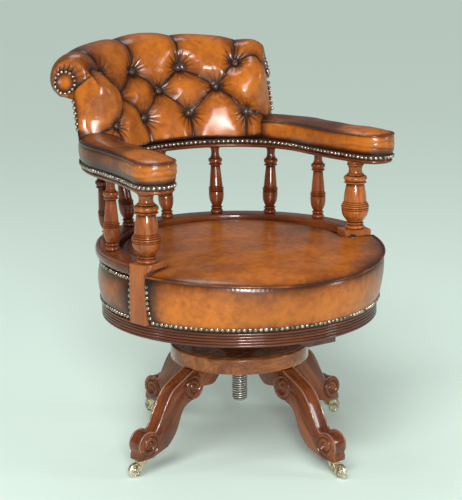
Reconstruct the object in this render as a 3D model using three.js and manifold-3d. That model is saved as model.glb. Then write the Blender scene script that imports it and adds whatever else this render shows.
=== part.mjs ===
// Captain's desk chair: a drum seat on an adjusting screw, a horseshoe arm bow on turned
// spindles, a deep-buttoned scroll-over back, and four scrolled legs on casters.
// Millimetres, +Z up. The chair faces -Y, so its left arm is at -X.

import * as THREE from 'three';
import { mergeVertices } from 'three/addons/utils/BufferGeometryUtils.js';
import Module from 'manifold-3d';

const wasm = await Module();
wasm.setup();

// Fits
const SEAT_FIT = 0.3; // space left where one piece rests on or against another
const RUNNING_FIT = 0.5; // space round a turning part
const CUT_OVERRUN = 4; // how far a cutting solid runs past what it cuts

// Casters
const WHEEL_RADIUS = 16;
const WHEEL_WIDTH = 12;
const WHEEL_HUB_PROUD = 1.5;
const WHEEL_RIM_DEPTH = 4;
const WHEEL_HUB_WALL = 3;
const WHEEL_WEB_THICKNESS = 5;
const CASTER_TRAIL_GAP = 4; // pintle's line to the wheel's edge
const CASTER_CIRCLE_RADIUS = 285.5; // through the four pintles
const CASTER_HEADROOM_HEIGHT = 5.5; // wheel's top to the leg's foot
const CASTER_PLATE_RADIUS = 15;
const CASTER_PLATE_THICKNESS = 2.2;
const PINTLE_RADIUS = 3.4;
const PINTLE_HEAD_WIDTH = 1.6;
const HORN_CROWN_WALL = 6.6;
const HORN_CROWN_THICKNESS = 4.2;
const HORN_CHEEK_THICKNESS = 2.6;
const HORN_EYE_WALL = 1.9;
const AXLE_RADIUS = 2.4;
const AXLE_HEAD_THICKNESS = 1.6;

// Base: four legs under a disc
const LEG_THICKNESS = 34;
const LEG_INNER_RADIUS = 56; // where the leg's tongue starts under the disc
const PLINTH_LENGTH = 34;
const PLINTH_HEIGHT = 9;
const UPPER_VOLUTE_RADIUS = 28;
const UPPER_VOLUTE_DROP_HEIGHT = 36.2; // its centre under the disc
const LOWER_VOLUTE_RADIUS = 26.5;
const LOWER_VOLUTE_INSET = 8.5; // its centre inside the pintle
const LOWER_VOLUTE_HEIGHT = 31.5; // its centre over the leg's foot
const VOLUTE_BEAD_WIDTH = 6;
const VOLUTE_BEAD_HEIGHT = 2.4;
const VOLUTE_EYE_RADIUS = 7;
const BASE_HEIGHT = 204.2; // floor to the disc
const DISC_RADIUS = 151;
const DISC_THICKNESS = 34;
const DISC_GROOVE_INSET = 7;
const DISC_GROOVE_WIDTH = 2;
const DISC_EDGE_ROUND = 4;

// Adjusting screw
const SCREW_RADIUS = 17;
const SCREW_HANG_LENGTH = 104.2; // how far it hangs under the disc
const SCREW_TIP_LENGTH = 5;
const BUSH_WALL = 8;
const BUSH_FLANGE_WIDTH = 20;
const BUSH_FLANGE_THICKNESS = 5;
const NUT_WALL = 19;
const NUT_HEIGHT = 21;
const NUT_NECK_HEIGHT = 5;
const HUB_WALL = 11;
const HUB_HEIGHT = 31.6;
const HUB_FOOT_WIDTH = 14;
const IRON_ARM_WIDTH = 34;
const IRON_ARM_THICKNESS = 7;
const IRON_ARM_LENGTH = 168;

// Drum seat
const SEAT_RADIUS = 310; // to the outside of the hoop rail
const BEARER_WIDTH = 72;
const BEARER_THICKNESS = 21;
const BEARER_DROP_HEIGHT = 10.9; // how much of the bearers shows below the rim
const BEARER_FRONT_INSET = 18;
const BEARER_END_INSET = 40;
const RIM_INSET = 11.6;
const RIM_HEIGHT = 30.4;
const RIM_WIDTH = 42;
const REED_DEPTH = 2.6;
const DRUM_INSET = 20;
const DRUM_WALL = 18;
const DRUM_HEIGHT = 97.1;
const PANEL_THICKNESS = 6;
const PANEL_BULGE_DEPTH = 9;
const HOOP_WIDTH = 52;
const HOOP_THICKNESS = 27.5;
const HOOP_NOSE_DEPTH = 7;
const WEBBING_THICKNESS = 3.4;
const CROWN_HEIGHT = 11.5; // the seat's middle over its edge at the hoop
const SEAT_EDGE_DEPTH = 13; // the seat's edge below the hoop's top
const PIPING_WIDTH = 4; // how far the piping stands out past the hoop
const PIPING_DROP_HEIGHT = 30.5; // the front piping below the hoop's top
const PIPING_BEAD_HEIGHT = 3;

// Posts and spindles
const BLOCK_WIDTH = 47;
const BLOCK_DEPTH = 64;
const BLOCK_INSET = 1.4;
const POST_INSET = 31;
const SPINDLE_LENGTH = 156.1; // hoop to bow, for the posts too
const SPINDLE_BULB_RADIUS = 17.5;
const POST_BULB_RADIUS = 30;

// Arm bow, a horseshoe in plan
const BOW_THICKNESS = 20.4;
const BOW_WIDTH = 84;
const BOW_NOSE_DEPTH = 6;
const ARM_INSET = 48;
const ARM_BEND_DEPTH = 81; // behind the seat's middle, where the arms start to bend
const BOW_BACK_INSET = 3;
const ARM_SPLAY_WIDTH = 21;
const ARM_FRONT_DEPTH = 108; // in front of the seat's middle, before the round tip

// Arm pads
const PAD_OVERHANG = 3;
const PAD_WALL_HEIGHT = 42; // bow to piping
const PAD_CROWN_HEIGHT = 10;
const PAD_BULGE_DEPTH = 3;

// Back, measured out from the bow's middle line and up from its top
const BACK_FOOT_DEPTH = 36;
const BACK_OUTER_DEPTH = 41;
const BACK_BOARD_THICKNESS = 22;
const BACK_PANEL_THICKNESS = 2.5;
const OUTER_LEAN_WIDTH = 40; // how far the outside back leans out at the middle
const OUTER_LEAN_END_WIDTH = 18;
const SCROLL_OUT_DEPTH = 84;
const SCROLL_OUT_END_DEPTH = 67;
const SCROLL_HEIGHT = 176;
const SCROLL_END_HEIGHT = 165;
const SCROLL_RADIUS = 58;
const SCROLL_END_RADIUS = 47.5;
const BUTTON_DEPTH = 3; // the buttons below the line that the stuffing stands on
const STUFFING_THICKNESS = 19;
const BUTTON_REACH_WIDTH = 30; // how far a button draws the leather in round itself
const PLEAT_REACH_WIDTH = 17;

// Angles and counts
const LEG_TURN_DEG = 8.3; // the base is turned a little under the seat
const POST_ANGLE_DEG = 102.5; // either side of the back's middle
const SPINDLE_STEP_DEG = 24.9;
const SPINDLES = 7;
const REEDS = 5;
const ARM_TURN_DEG = 90; // round the bow, where its half ellipse meets the arms
const TIP_TURN_DEG = 180;
const BACK_END_TURN_DEG = 58;
const SCROLL_END_TURN_DEG = 51.6; // the back narrows upwards
const BACK_NOSE_TURN_DEG = 45; // where the back's ends start to round off
const BACK_BOARD_TURN_DEG = 50;

const GROUND = 0;
const DEG = Math.PI / 180;
const RING_SIDES = 48; // nested rings share their facets, so their fits stay even
const chair = new THREE.Group();

// Finishes
const mahogany = { color: 0x5a2414, roughness: 0.28, metalness: 0 };
const mahoganyDark = { color: 0x43190f, roughness: 0.3, metalness: 0 };
const beech = { color: 0x8a5a34, roughness: 0.65, metalness: 0 };
const leather = { color: 0xa4561c, roughness: 0.3, metalness: 0 };
const brass = { color: 0xb59a62, roughness: 0.35, metalness: 1 };
const steel = { color: 0x8b8883, roughness: 0.4, metalness: 1 };
const iron = { color: 0x34312e, roughness: 0.6, metalness: 0.8 };
const webbing = { color: 0x6d5a3c, roughness: 0.9, metalness: 0 };

function place(name, geometry, finish, parent = chair) {
  const mesh = new THREE.Mesh(geometry, new THREE.MeshStandardMaterial(finish));
  mesh.name = name;
  parent.add(mesh);
  return mesh;
}

// Solids for cutting and joining
function toManifold(geometry) {
  const bare = geometry.clone();
  bare.deleteAttribute('normal');
  bare.deleteAttribute('uv');
  const merged = mergeVertices(bare);
  return new wasm.Manifold(new wasm.Mesh({
    numProp: 3,
    vertProperties: new Float32Array(merged.attributes.position.array),
    triVerts: new Uint32Array(merged.index.array),
  }));
}

function toGeometry(solid) {
  const mesh = solid.getMesh();
  const geometry = new THREE.BufferGeometry();
  geometry.setAttribute('position', new THREE.BufferAttribute(mesh.vertProperties, 3));
  geometry.setIndex(new THREE.BufferAttribute(mesh.triVerts, 1));
  geometry.computeVertexNormals();
  return geometry;
}

function join(...geometries) {
  return toGeometry(geometries.map(toManifold).reduce((a, b) => a.add(b)));
}

function cut(body, ...tools) {
  return toGeometry(tools.map(toManifold).reduce((a, b) => a.subtract(b), toManifold(body)));
}

function common(a, b) {
  return toGeometry(toManifold(a).intersect(toManifold(b)));
}

// A profile of [radius, height] pairs turned about +Z
function turned(profile, segments, start = 0, sweep = 2 * Math.PI) {
  const points = profile.map(([radius, height]) => new THREE.Vector2(radius, height));
  return new THREE.LatheGeometry(points, segments, start, sweep).rotateX(Math.PI / 2);
}

function rod(radius, bottom, top, segments) {
  return turned([[0, bottom], [radius, bottom], [radius, top], [0, top]], segments);
}

function bar(length, width, bottom, top) {
  return new THREE.BoxGeometry(length, width, top - bottom).translate(0, 0, (bottom + top) / 2);
}

// Rings of points joined into one closed skin. Without `looped`, both ends get a flat cap.
function loft(rings, looped = false) {
  const count = rings[0].length;
  const points = rings.flat();
  const faces = [];
  const last = looped ? rings.length : rings.length - 1;
  for (let i = 0; i < last; i++) {
    const here = i * count;
    const next = ((i + 1) % rings.length) * count;
    for (let j = 0; j < count; j++) {
      const k = (j + 1) % count;
      faces.push(here + j, here + k, next + k, here + j, next + k, next + j);
    }
  }
  if (!looped) {
    cap(rings[0], 0, false, faces);
    cap(rings[rings.length - 1], (rings.length - 1) * count, true, faces);
  }
  const geometry = new THREE.BufferGeometry().setFromPoints(points);
  geometry.setIndex(faces);
  return outward(geometry);
}

// Triangles over one ring, laid out in the ring's own plane
function cap(ring, first, far, faces) {
  const normal = new THREE.Vector3();
  ring.forEach((point, i) => normal.add(point.clone().cross(ring[(i + 1) % ring.length])));
  const turn = new THREE.Quaternion().setFromUnitVectors(normal.normalize(), new THREE.Vector3(0, 0, 1));
  const flat = ring.map((point) => {
    const laid = point.clone().applyQuaternion(turn);
    return new THREE.Vector2(laid.x, laid.y);
  });
  for (const [a, b, c] of THREE.ShapeUtils.triangulateShape(flat, [])) {
    if (far) faces.push(first + a, first + b, first + c);
    else faces.push(first + a, first + c, first + b);
  }
}

// Turns a skin inside out if its volume is negative
function outward(geometry) {
  const p = geometry.attributes.position;
  const index = geometry.index.array;
  const [a, b, c] = [new THREE.Vector3(), new THREE.Vector3(), new THREE.Vector3()];
  let volume = 0;
  for (let i = 0; i < index.length; i += 3) {
    a.fromBufferAttribute(p, index[i]);
    b.fromBufferAttribute(p, index[i + 1]);
    c.fromBufferAttribute(p, index[i + 2]);
    volume += a.dot(b.cross(c));
  }
  if (volume < 0) {
    for (let i = 0; i < index.length; i += 3) [index[i], index[i + 1]] = [index[i + 1], index[i]];
  }
  geometry.computeVertexNormals();
  return geometry;
}

// A [radius, height] section carried round from one facet of the ring to another
function arcSweep(section, from = 0, to = RING_SIDES) {
  const looped = to - from >= RING_SIDES;
  const rings = [];
  for (let i = from; i < to + (looped ? 0 : 1); i++) {
    const angle = (i / RING_SIDES) * 2 * Math.PI;
    rings.push(section.map(([radius, z]) => (
      new THREE.Vector3(radius * Math.cos(angle), radius * Math.sin(angle), z))));
  }
  return loft(rings, looped);
}

// A flat outline in radius and height, made into a board that stands along +X
function standingBoard(shape, thick, curveSegments) {
  const board = new THREE.ExtrudeGeometry(shape, { depth: thick, bevelEnabled: false, curveSegments });
  return board.translate(0, 0, -thick / 2).rotateX(Math.PI / 2);
}

// Legs: a flat S-scroll with a carved volute on both faces at each end. The curves are
// given as shares of the way between the volutes, and of the height from foot to disc
const tongueShares = [[0.26, 0.784], [0.485, 0.74]];
const shinShares = [[0.228, 0.525], [0.371, 0.29], [0.468, 0.177], [0.597, 0.087]];
const kneeShares = [[0.798, 0.385], [0.597, 0.664], [0.468, 0.796], [0.331, 0.868]];
const casterHeight = 2 * WHEEL_RADIUS + CASTER_HEADROOM_HEIGHT;
const upper = {
  r: DISC_RADIUS + SEAT_FIT, z: BASE_HEIGHT - UPPER_VOLUTE_DROP_HEIGHT, radius: UPPER_VOLUTE_RADIUS };
const lower = {
  r: CASTER_CIRCLE_RADIUS - LOWER_VOLUTE_INSET, z: casterHeight + LOWER_VOLUTE_HEIGHT,
  radius: LOWER_VOLUTE_RADIUS };

function legOutline() {
  const top = BASE_HEIGHT - SEAT_FIT;
  const foot = casterHeight;
  const between = (from, to) => ([reachShare, heightShare]) => new THREE.Vector2(
    from + (to - from) * reachShare, foot + (top - foot) * heightShare);
  const shape = new THREE.Shape();
  shape.moveTo(LEG_INNER_RADIUS, top);
  shape.splineThru(tongueShares.map(between(LEG_INNER_RADIUS, upper.r)));
  shape.absarc(upper.r, upper.z, upper.radius, 205 * DEG, 275 * DEG, false);
  shape.splineThru(shinShares.map(between(upper.r, lower.r)));
  shape.lineTo(CASTER_CIRCLE_RADIUS - PLINTH_LENGTH / 2, foot);
  shape.lineTo(CASTER_CIRCLE_RADIUS + PLINTH_LENGTH / 2, foot);
  shape.lineTo(CASTER_CIRCLE_RADIUS + PLINTH_LENGTH / 2, foot + PLINTH_HEIGHT);
  shape.absarc(lower.r, lower.z, lower.radius, -30 * DEG, 124 * DEG, false);
  shape.splineThru(kneeShares.map(between(upper.r, lower.r)));
  shape.lineTo(upper.r, top);
  shape.closePath();
  return shape;
}

// A rounded bead that winds in from a volute's edge to its eye
function voluteShape({ r, z, radius }, startDeg, turns) {
  const steps = 11;
  const outer = [];
  const inner = [];
  for (let i = 0; i <= steps; i++) {
    const t = i / steps;
    const angle = (startDeg + 360 * turns * t) * DEG;
    const reach = radius + (VOLUTE_EYE_RADIUS - radius) * t;
    const inside = reach - VOLUTE_BEAD_WIDTH * (1 - 0.35 * t);
    outer.push(new THREE.Vector2(r + reach * Math.cos(angle), z + reach * Math.sin(angle)));
    inner.push(new THREE.Vector2(r + inside * Math.cos(angle), z + inside * Math.sin(angle)));
  }
  return new THREE.Shape([...outer, ...inner.reverse()]);
}

function legGeometry() {
  const relief = LEG_THICKNESS + 2 * VOLUTE_BEAD_HEIGHT;
  const parts = [standingBoard(legOutline(), LEG_THICKNESS, 2)];
  for (const [volute, startDeg, turns] of [[upper, 60, 1.1], [lower, 130, -1.1]]) {
    parts.push(standingBoard(voluteShape(volute, startDeg, turns), relief, 1));
    const eye = new THREE.CylinderGeometry(VOLUTE_EYE_RADIUS * 0.8, VOLUTE_EYE_RADIUS * 0.8, relief, 6);
    parts.push(eye.translate(volute.r, 0, volute.z));
  }
  return join(...parts);
}

// Casters: the plate and pintle stay on the foot, the horn swivels, the wheel rolls
const WHEEL_SIDES = 16;
const casterTrail = WHEEL_RADIUS + CASTER_TRAIL_GAP;
const hornTop = casterHeight - CASTER_PLATE_THICKNESS - 2 * SEAT_FIT;
const hornSlot = WHEEL_WIDTH + 2 * WHEEL_HUB_PROUD + 2 * SEAT_FIT;
const hornWidth = hornSlot + 2 * HORN_CHEEK_THICKNESS;
const hornCrownRadius = PINTLE_RADIUS + RUNNING_FIT + HORN_CROWN_WALL;

function plateGeometry() {
  const top = casterHeight - SEAT_FIT;
  const head = hornTop - HORN_CROWN_THICKNESS - SEAT_FIT;
  const headRadius = PINTLE_RADIUS + PINTLE_HEAD_WIDTH;
  const low = head - CASTER_PLATE_THICKNESS / 2;
  return turned([
    [0, low], [headRadius, low], [headRadius, head], [PINTLE_RADIUS, head],
    [PINTLE_RADIUS, top - CASTER_PLATE_THICKNESS], [CASTER_PLATE_RADIUS, top - CASTER_PLATE_THICKNESS],
    [CASTER_PLATE_RADIUS, top], [0, top],
  ], 10);
}

function hornGeometry() {
  const eye = AXLE_RADIUS + SEAT_FIT + HORN_EYE_WALL;
  const cheek = new THREE.Shape();
  cheek.moveTo(-hornCrownRadius * 0.55, hornTop);
  cheek.quadraticCurveTo(
    -hornCrownRadius * 0.3, WHEEL_RADIUS, casterTrail - eye * 0.6, WHEEL_RADIUS - eye * 0.8);
  cheek.absarc(casterTrail, WHEEL_RADIUS, eye, -127 * DEG, 60 * DEG, false);
  cheek.quadraticCurveTo(casterTrail * 0.5, WHEEL_RADIUS * 1.5, hornCrownRadius * 0.75, hornTop);
  cheek.closePath();
  const slab = standingBoard(cheek, hornWidth, 3);
  const crown = rod(hornCrownRadius, hornTop - HORN_CROWN_THICKNESS, hornTop, 12);
  const slot = bar(4 * (casterTrail + WHEEL_RADIUS), hornSlot, GROUND, hornTop - HORN_CROWN_THICKNESS);
  const pintleHole = rod(PINTLE_RADIUS + RUNNING_FIT, GROUND, hornTop + CUT_OVERRUN, 12);
  const axleHole = new THREE.CylinderGeometry(
    AXLE_RADIUS + SEAT_FIT, AXLE_RADIUS + SEAT_FIT, hornWidth + CUT_OVERRUN, 10);
  return cut(join(cut(slab, slot), crown), pintleHole, axleHole.translate(casterTrail, 0, WHEEL_RADIUS));
}

function wheelGeometry() {
  const across = WHEEL_RADIUS / Math.cos(Math.PI / WHEEL_SIDES);
  const half = WHEEL_WIDTH / 2;
  const hub = half + WHEEL_HUB_PROUD;
  const web = WHEEL_WEB_THICKNESS / 2;
  const bore = AXLE_RADIUS + RUNNING_FIT;
  const boss = bore + WHEEL_HUB_WALL;
  const face = across - WHEEL_RIM_DEPTH;
  const wheel = turned([
    [bore, -hub], [boss, -hub], [boss, -web], [face, -half], [across, -half * 0.6],
    [across, half * 0.6], [face, half], [boss, web], [boss, hub], [bore, hub], [bore, -hub],
  ], WHEEL_SIDES);
  return wheel.rotateZ(Math.PI / WHEEL_SIDES).rotateX(Math.PI / 2).translate(casterTrail, 0, WHEEL_RADIUS);
}

function axleGeometry() {
  const half = hornWidth / 2 + SEAT_FIT;
  const head = AXLE_RADIUS * 1.5;
  return turned([
    [0, -half - AXLE_HEAD_THICKNESS], [head, -half - AXLE_HEAD_THICKNESS], [head, -half],
    [AXLE_RADIUS, -half], [AXLE_RADIUS, half], [head, half],
    [head, half + AXLE_HEAD_THICKNESS], [0, half + AXLE_HEAD_THICKNESS],
  ], 8).rotateX(Math.PI / 2).translate(casterTrail, 0, WHEEL_RADIUS);
}

const legAngles = { front_left: 180, front_right: 270, back_right: 0, back_left: 90 };
for (const [corner, deg] of Object.entries(legAngles)) {
  const spoke = new THREE.Group();
  spoke.rotation.z = (deg + LEG_TURN_DEG) * DEG;
  chair.add(spoke);
  place(`leg_${corner}`, legGeometry(), mahogany, spoke);
  const caster = new THREE.Group();
  caster.position.x = CASTER_CIRCLE_RADIUS;
  spoke.add(caster);
  place(`caster_plate_${corner}`, plateGeometry(), brass, caster);
  place(`caster_horn_${corner}`, hornGeometry(), brass, caster);
  place(`caster_axle_${corner}`, axleGeometry(), steel, caster);
  place(`caster_wheel_${corner}`, wheelGeometry(), brass, caster);
}

// Base disc with its turned groove, and the iron bush that the screw turns in
const discTop = BASE_HEIGHT + DISC_THICKNESS;
const screwBore = SCREW_RADIUS + RUNNING_FIT;
const bushRadius = screwBore + BUSH_WALL;
const grooveRadius = DISC_RADIUS - DISC_GROOVE_INSET;
place('base_disc', turned([
  [bushRadius + SEAT_FIT, BASE_HEIGHT], [DISC_RADIUS - DISC_EDGE_ROUND, BASE_HEIGHT],
  [DISC_RADIUS, BASE_HEIGHT + DISC_EDGE_ROUND], [DISC_RADIUS, discTop - DISC_EDGE_ROUND],
  [DISC_RADIUS - DISC_EDGE_ROUND, discTop], [grooveRadius, discTop],
  [grooveRadius - DISC_GROOVE_WIDTH / 2, discTop - DISC_GROOVE_WIDTH],
  [grooveRadius - DISC_GROOVE_WIDTH, discTop], [bushRadius + SEAT_FIT, discTop],
  [bushRadius + SEAT_FIT, BASE_HEIGHT],
], 40), mahogany);

const flangeBottom = discTop + SEAT_FIT;
const flangeTop = flangeBottom + BUSH_FLANGE_THICKNESS;
place('screw_bush', turned([
  [screwBore, BASE_HEIGHT], [bushRadius, BASE_HEIGHT], [bushRadius, flangeBottom],
  [bushRadius + BUSH_FLANGE_WIDTH, flangeBottom], [bushRadius + BUSH_FLANGE_WIDTH, flangeTop],
  [screwBore, flangeTop], [screwBore, BASE_HEIGHT],
], 24), iron);

// The height nut turns with the seat on top of the bush
const nutBottom = flangeTop + SEAT_FIT;
const nutTop = nutBottom + NUT_HEIGHT;
const nutBody = cut(
  join(
    rod(screwBore + NUT_WALL, nutBottom + NUT_NECK_HEIGHT, nutTop, 8),
    rod(screwBore + NUT_WALL / 2, nutBottom, nutTop, 24)),
  rod(screwBore, nutBottom - CUT_OVERRUN, nutTop + CUT_OVERRUN, 24));
place('height_nut', nutBody, iron);

// The iron under the bearers, with the screw pinned in its hub
const hubBottom = nutTop + SEAT_FIT;
const hubRadius = SCREW_RADIUS + SEAT_FIT + HUB_WALL;
const ironTop = hubBottom + HUB_HEIGHT;
const screwTop = ironTop - IRON_ARM_THICKNESS - SEAT_FIT;
const ironArms = [0, 90].map((deg) => (
  bar(2 * IRON_ARM_LENGTH, IRON_ARM_WIDTH, ironTop - IRON_ARM_THICKNESS, ironTop).rotateZ(deg * DEG)));
place('seat_iron', cut(
  join(...ironArms, turned([
    [0, hubBottom], [hubRadius, hubBottom], [hubRadius, hubBottom + HUB_HEIGHT * 0.4],
    [hubRadius + HUB_FOOT_WIDTH, ironTop - IRON_ARM_THICKNESS], [hubRadius + HUB_FOOT_WIDTH, ironTop],
    [0, ironTop],
  ], 24)),
  rod(SCREW_RADIUS + SEAT_FIT, hubBottom - CUT_OVERRUN, screwTop + SEAT_FIT, 24)), iron);

const screwBottom = BASE_HEIGHT - SCREW_HANG_LENGTH;
place('height_screw', turned([
  [0, screwBottom], [SCREW_RADIUS - SCREW_TIP_LENGTH, screwBottom],
  [SCREW_RADIUS, screwBottom + SCREW_TIP_LENGTH], [SCREW_RADIUS, screwTop], [0, screwTop],
], 24), steel);

// Bearers: two boards halved together and let into the underside of the rim
const bearerBottom = ironTop + SEAT_FIT;
const bearerTop = bearerBottom + BEARER_THICKNESS;
const bearerMiddle = (bearerBottom + bearerTop) / 2;
const longReach = SEAT_RADIUS - BEARER_FRONT_INSET;
const crossReach = SEAT_RADIUS - BEARER_END_INSET;
function bearer(reach, lowerHalf) {
  const board = bar(2 * reach, BEARER_WIDTH, bearerBottom, bearerTop);
  const [bottom, top] = lowerHalf
    ? [bearerMiddle - SEAT_FIT / 2, bearerTop + CUT_OVERRUN]
    : [bearerBottom - CUT_OVERRUN, bearerMiddle + SEAT_FIT / 2];
  return cut(board, bar(BEARER_WIDTH + 2 * SEAT_FIT, 2 * BEARER_WIDTH, bottom, top));
}
place('bearer_cross', bearer(crossReach, true), beech);
place('bearer_long', bearer(longReach, false).rotateZ(Math.PI / 2), beech);

// Reeded rim
const rimBottom = bearerBottom + BEARER_DROP_HEIGHT;
const rimTop = rimBottom + RIM_HEIGHT;
const rimRadius = SEAT_RADIUS - RIM_INSET;
const rimInner = rimRadius - RIM_WIDTH;
const reed = RIM_HEIGHT / REEDS;
const reedFace = [];
for (let i = 0; i < REEDS; i++) {
  const bottom = rimBottom + reed * i;
  reedFace.push([rimRadius - REED_DEPTH, bottom], [rimRadius, bottom + reed / 2]);
}
reedFace.push([rimRadius - REED_DEPTH, rimTop]);
const rimRing = arcSweep([[rimInner, rimBottom], ...reedFace, [rimInner, rimTop]]);
const bearerSlots = [[crossReach, 0], [longReach, 90]].map(([reach, deg]) => bar(
  2 * (reach + SEAT_FIT), BEARER_WIDTH + 2 * SEAT_FIT,
  rimBottom - CUT_OVERRUN, bearerTop + SEAT_FIT).rotateZ(deg * DEG));
place('reeded_rim', cut(rimRing, ...bearerSlots), mahoganyDark);

// Drum wall, webbing and the leather panel round the back of the drum
const drumBottom = rimTop + SEAT_FIT;
const drumTop = drumBottom + DRUM_HEIGHT;
const drumRadius = SEAT_RADIUS - DRUM_INSET;
const drumInner = drumRadius - DRUM_WALL;
const hoopBottom = drumTop + SEAT_FIT;
const hoopTop = hoopBottom + HOOP_THICKNESS;
const hoopInner = SEAT_RADIUS - HOOP_WIDTH;
place('seat_drum', arcSweep([
  [drumInner, drumBottom], [drumRadius, drumBottom], [drumRadius, drumTop], [drumInner, drumTop],
]), beech);

const webbingTop = drumBottom + WEBBING_THICKNESS;
place('seat_webbing', rod(drumInner - SEAT_FIT, drumBottom, webbingTop, RING_SIDES), webbing);

// Pieces that end at the blocks start inside them and are cut back
const backHalf = Math.round((RING_SIDES * POST_ANGLE_DEG) / 360);
const backFrom = RING_SIDES / 4 - backHalf;
const backTo = RING_SIDES / 4 + backHalf;
const atPost = (geometry, sign) => geometry.rotateZ((90 + sign * POST_ANGLE_DEG) * DEG);
const besideBlocks = (inner, bottom) => [1, -1].map((sign) => atPost(bar(
  SEAT_RADIUS, BLOCK_WIDTH + 2 * SEAT_FIT, bottom, hoopTop + CUT_OVERRUN,
).translate(inner + SEAT_RADIUS / 2, 0, 0), sign));
const panelSkin = drumRadius + SEAT_FIT;
const panelFace = [0, 0.25, 0.5, 0.75, 1].map((share) => [
  panelSkin + PANEL_THICKNESS + PANEL_BULGE_DEPTH * Math.sin(share * Math.PI),
  drumBottom + DRUM_HEIGHT * share]);
const panelSweep = arcSweep(
  [[panelSkin, drumBottom], ...panelFace, [panelSkin, drumTop]], backFrom, backTo);
place('drum_leather', cut(panelSweep, ...besideBlocks(0, drumBottom - CUT_OVERRUN)), leather);

// Hoop rail round the back of the seat
const nose = HOOP_NOSE_DEPTH;
const hoopSweep = arcSweep([
  [hoopInner, hoopBottom], [SEAT_RADIUS - nose, hoopBottom],
  [SEAT_RADIUS - nose * 0.6, hoopBottom + nose * 0.8], [SEAT_RADIUS, hoopBottom + nose * 1.6],
  [SEAT_RADIUS, hoopTop - nose * 0.7], [SEAT_RADIUS - nose * 0.2, hoopTop - nose * 0.2],
  [SEAT_RADIUS - nose * 0.7, hoopTop], [hoopInner + nose * 0.4, hoopTop],
  [hoopInner, hoopTop - nose * 0.4],
], backFrom, backTo);
place('hoop_rail', cut(hoopSweep, ...besideBlocks(0, drumBottom - CUT_OVERRUN)), mahogany);

// Post blocks, lapped over the drum
const blockInner = SEAT_RADIUS - BLOCK_DEPTH;
function blockGeometry() {
  const outline = new THREE.Shape();
  outline.moveTo(blockInner, hoopBottom);
  outline.lineTo(panelSkin, hoopBottom);
  outline.lineTo(panelSkin, drumBottom);
  outline.lineTo(SEAT_RADIUS, drumBottom);
  outline.lineTo(SEAT_RADIUS, hoopTop);
  outline.lineTo(blockInner, hoopTop);
  outline.closePath();
  const face = rod(
    SEAT_RADIUS - BLOCK_INSET, drumBottom - CUT_OVERRUN, hoopTop + CUT_OVERRUN, 2 * RING_SIDES);
  return common(standingBoard(outline, BLOCK_WIDTH, 1), face);
}
place('post_block_left', atPost(blockGeometry(), 1), mahogany);
place('post_block_right', atPost(blockGeometry(), -1), mahogany);

// Seat: a sprung core inside the drum, and a front band that is drawn down over it
const padBottom = webbingTop + SEAT_FIT;
const coreRadius = Math.min(hoopInner, drumInner) - SEAT_FIT;
const seatEdge = hoopTop - SEAT_EDGE_DEPTH;
const crown = [0.97, 0.86, 0.66, 0.36].map((share) => [
  coreRadius * share, seatEdge + CROWN_HEIGHT * (1 - share ** 2)]);
const core = turned([
  [0, padBottom], [drumInner - SEAT_FIT, padBottom], [drumInner - SEAT_FIT, drumTop],
  [coreRadius, drumTop], [coreRadius, seatEdge - PIPING_BEAD_HEIGHT], ...crown,
  [0, seatEdge + CROWN_HEIGHT],
], RING_SIDES);
const pipingRadius = SEAT_RADIUS + PIPING_WIDTH;
const pipingHeight = hoopTop - PIPING_DROP_HEIGHT;
const bandShares = [[0.3, 0], [0.52, 0.1], [0.78, 0.35], [0.94, 0.65], [0.94, 0.95]];
const band = bandShares.map(([outShare, upShare]) => [
  panelSkin + (pipingRadius - panelSkin) * outShare,
  drumBottom + (pipingHeight - drumBottom) * upShare]);
const front = arcSweep([
  [coreRadius * 0.5, drumTop + SEAT_FIT], [panelSkin, drumTop + SEAT_FIT], [panelSkin, drumBottom], ...band,
  [pipingRadius, pipingHeight],
  [pipingRadius - PIPING_BEAD_HEIGHT * 0.5, pipingHeight + PIPING_BEAD_HEIGHT],
  [pipingRadius - PIPING_BEAD_HEIGHT * 3, pipingHeight + PIPING_BEAD_HEIGHT * 2],
  [coreRadius, seatEdge], [coreRadius * 0.9, seatEdge - PIPING_BEAD_HEIGHT],
], backTo, RING_SIDES + backFrom);
place('seat_pad', cut(
  join(core, front),
  ...besideBlocks(blockInner - SEAT_FIT, hoopBottom - SEAT_FIT),
  ...besideBlocks(drumRadius - SEAT_FIT, drumBottom - CUT_OVERRUN)), leather);

// Arm bow: a straight splayed arm each side and a half ellipse round the back
const armSpan = SEAT_RADIUS - ARM_INSET;
const backReach = SEAT_RADIUS - BOW_BACK_INSET - ARM_BEND_DEPTH;
class BowCurve extends THREE.Curve {
  // Positive turns run from the middle of the back to the right tip, negative ones to the left
  atTurn(turn) {
    const side = Math.sign(turn) || 1;
    const deg = ARM_TURN_DEG - Math.abs(turn);
    if (deg >= 0) {
      return new THREE.Vector3(
        side * armSpan * Math.cos(deg * DEG), ARM_BEND_DEPTH + backReach * Math.sin(deg * DEG), 0);
    }
    const share = -deg / (TIP_TURN_DEG - ARM_TURN_DEG);
    return new THREE.Vector3(
      side * (armSpan + ARM_SPLAY_WIDTH * share ** 2),
      ARM_BEND_DEPTH - (ARM_BEND_DEPTH + ARM_FRONT_DEPTH) * share, 0);
  }

  getPoint(t, target = new THREE.Vector3()) {
    return target.copy(this.atTurn(TIP_TURN_DEG * (2 * t - 1)));
  }

  outwardAt(turn) {
    const ahead = this.atTurn(turn + 0.01);
    const way = ahead.sub(this.atTurn(turn - 0.01)).normalize();
    return new THREE.Vector3(-way.y, way.x, 0);
  }
}
const bow = new BowCurve();

// Points beside the bow: turn round the curve, distance outwards, height
function beside(turn, out, z) {
  return bow.atTurn(turn).addScaledVector(bow.outwardAt(turn), out).setZ(z);
}

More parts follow.
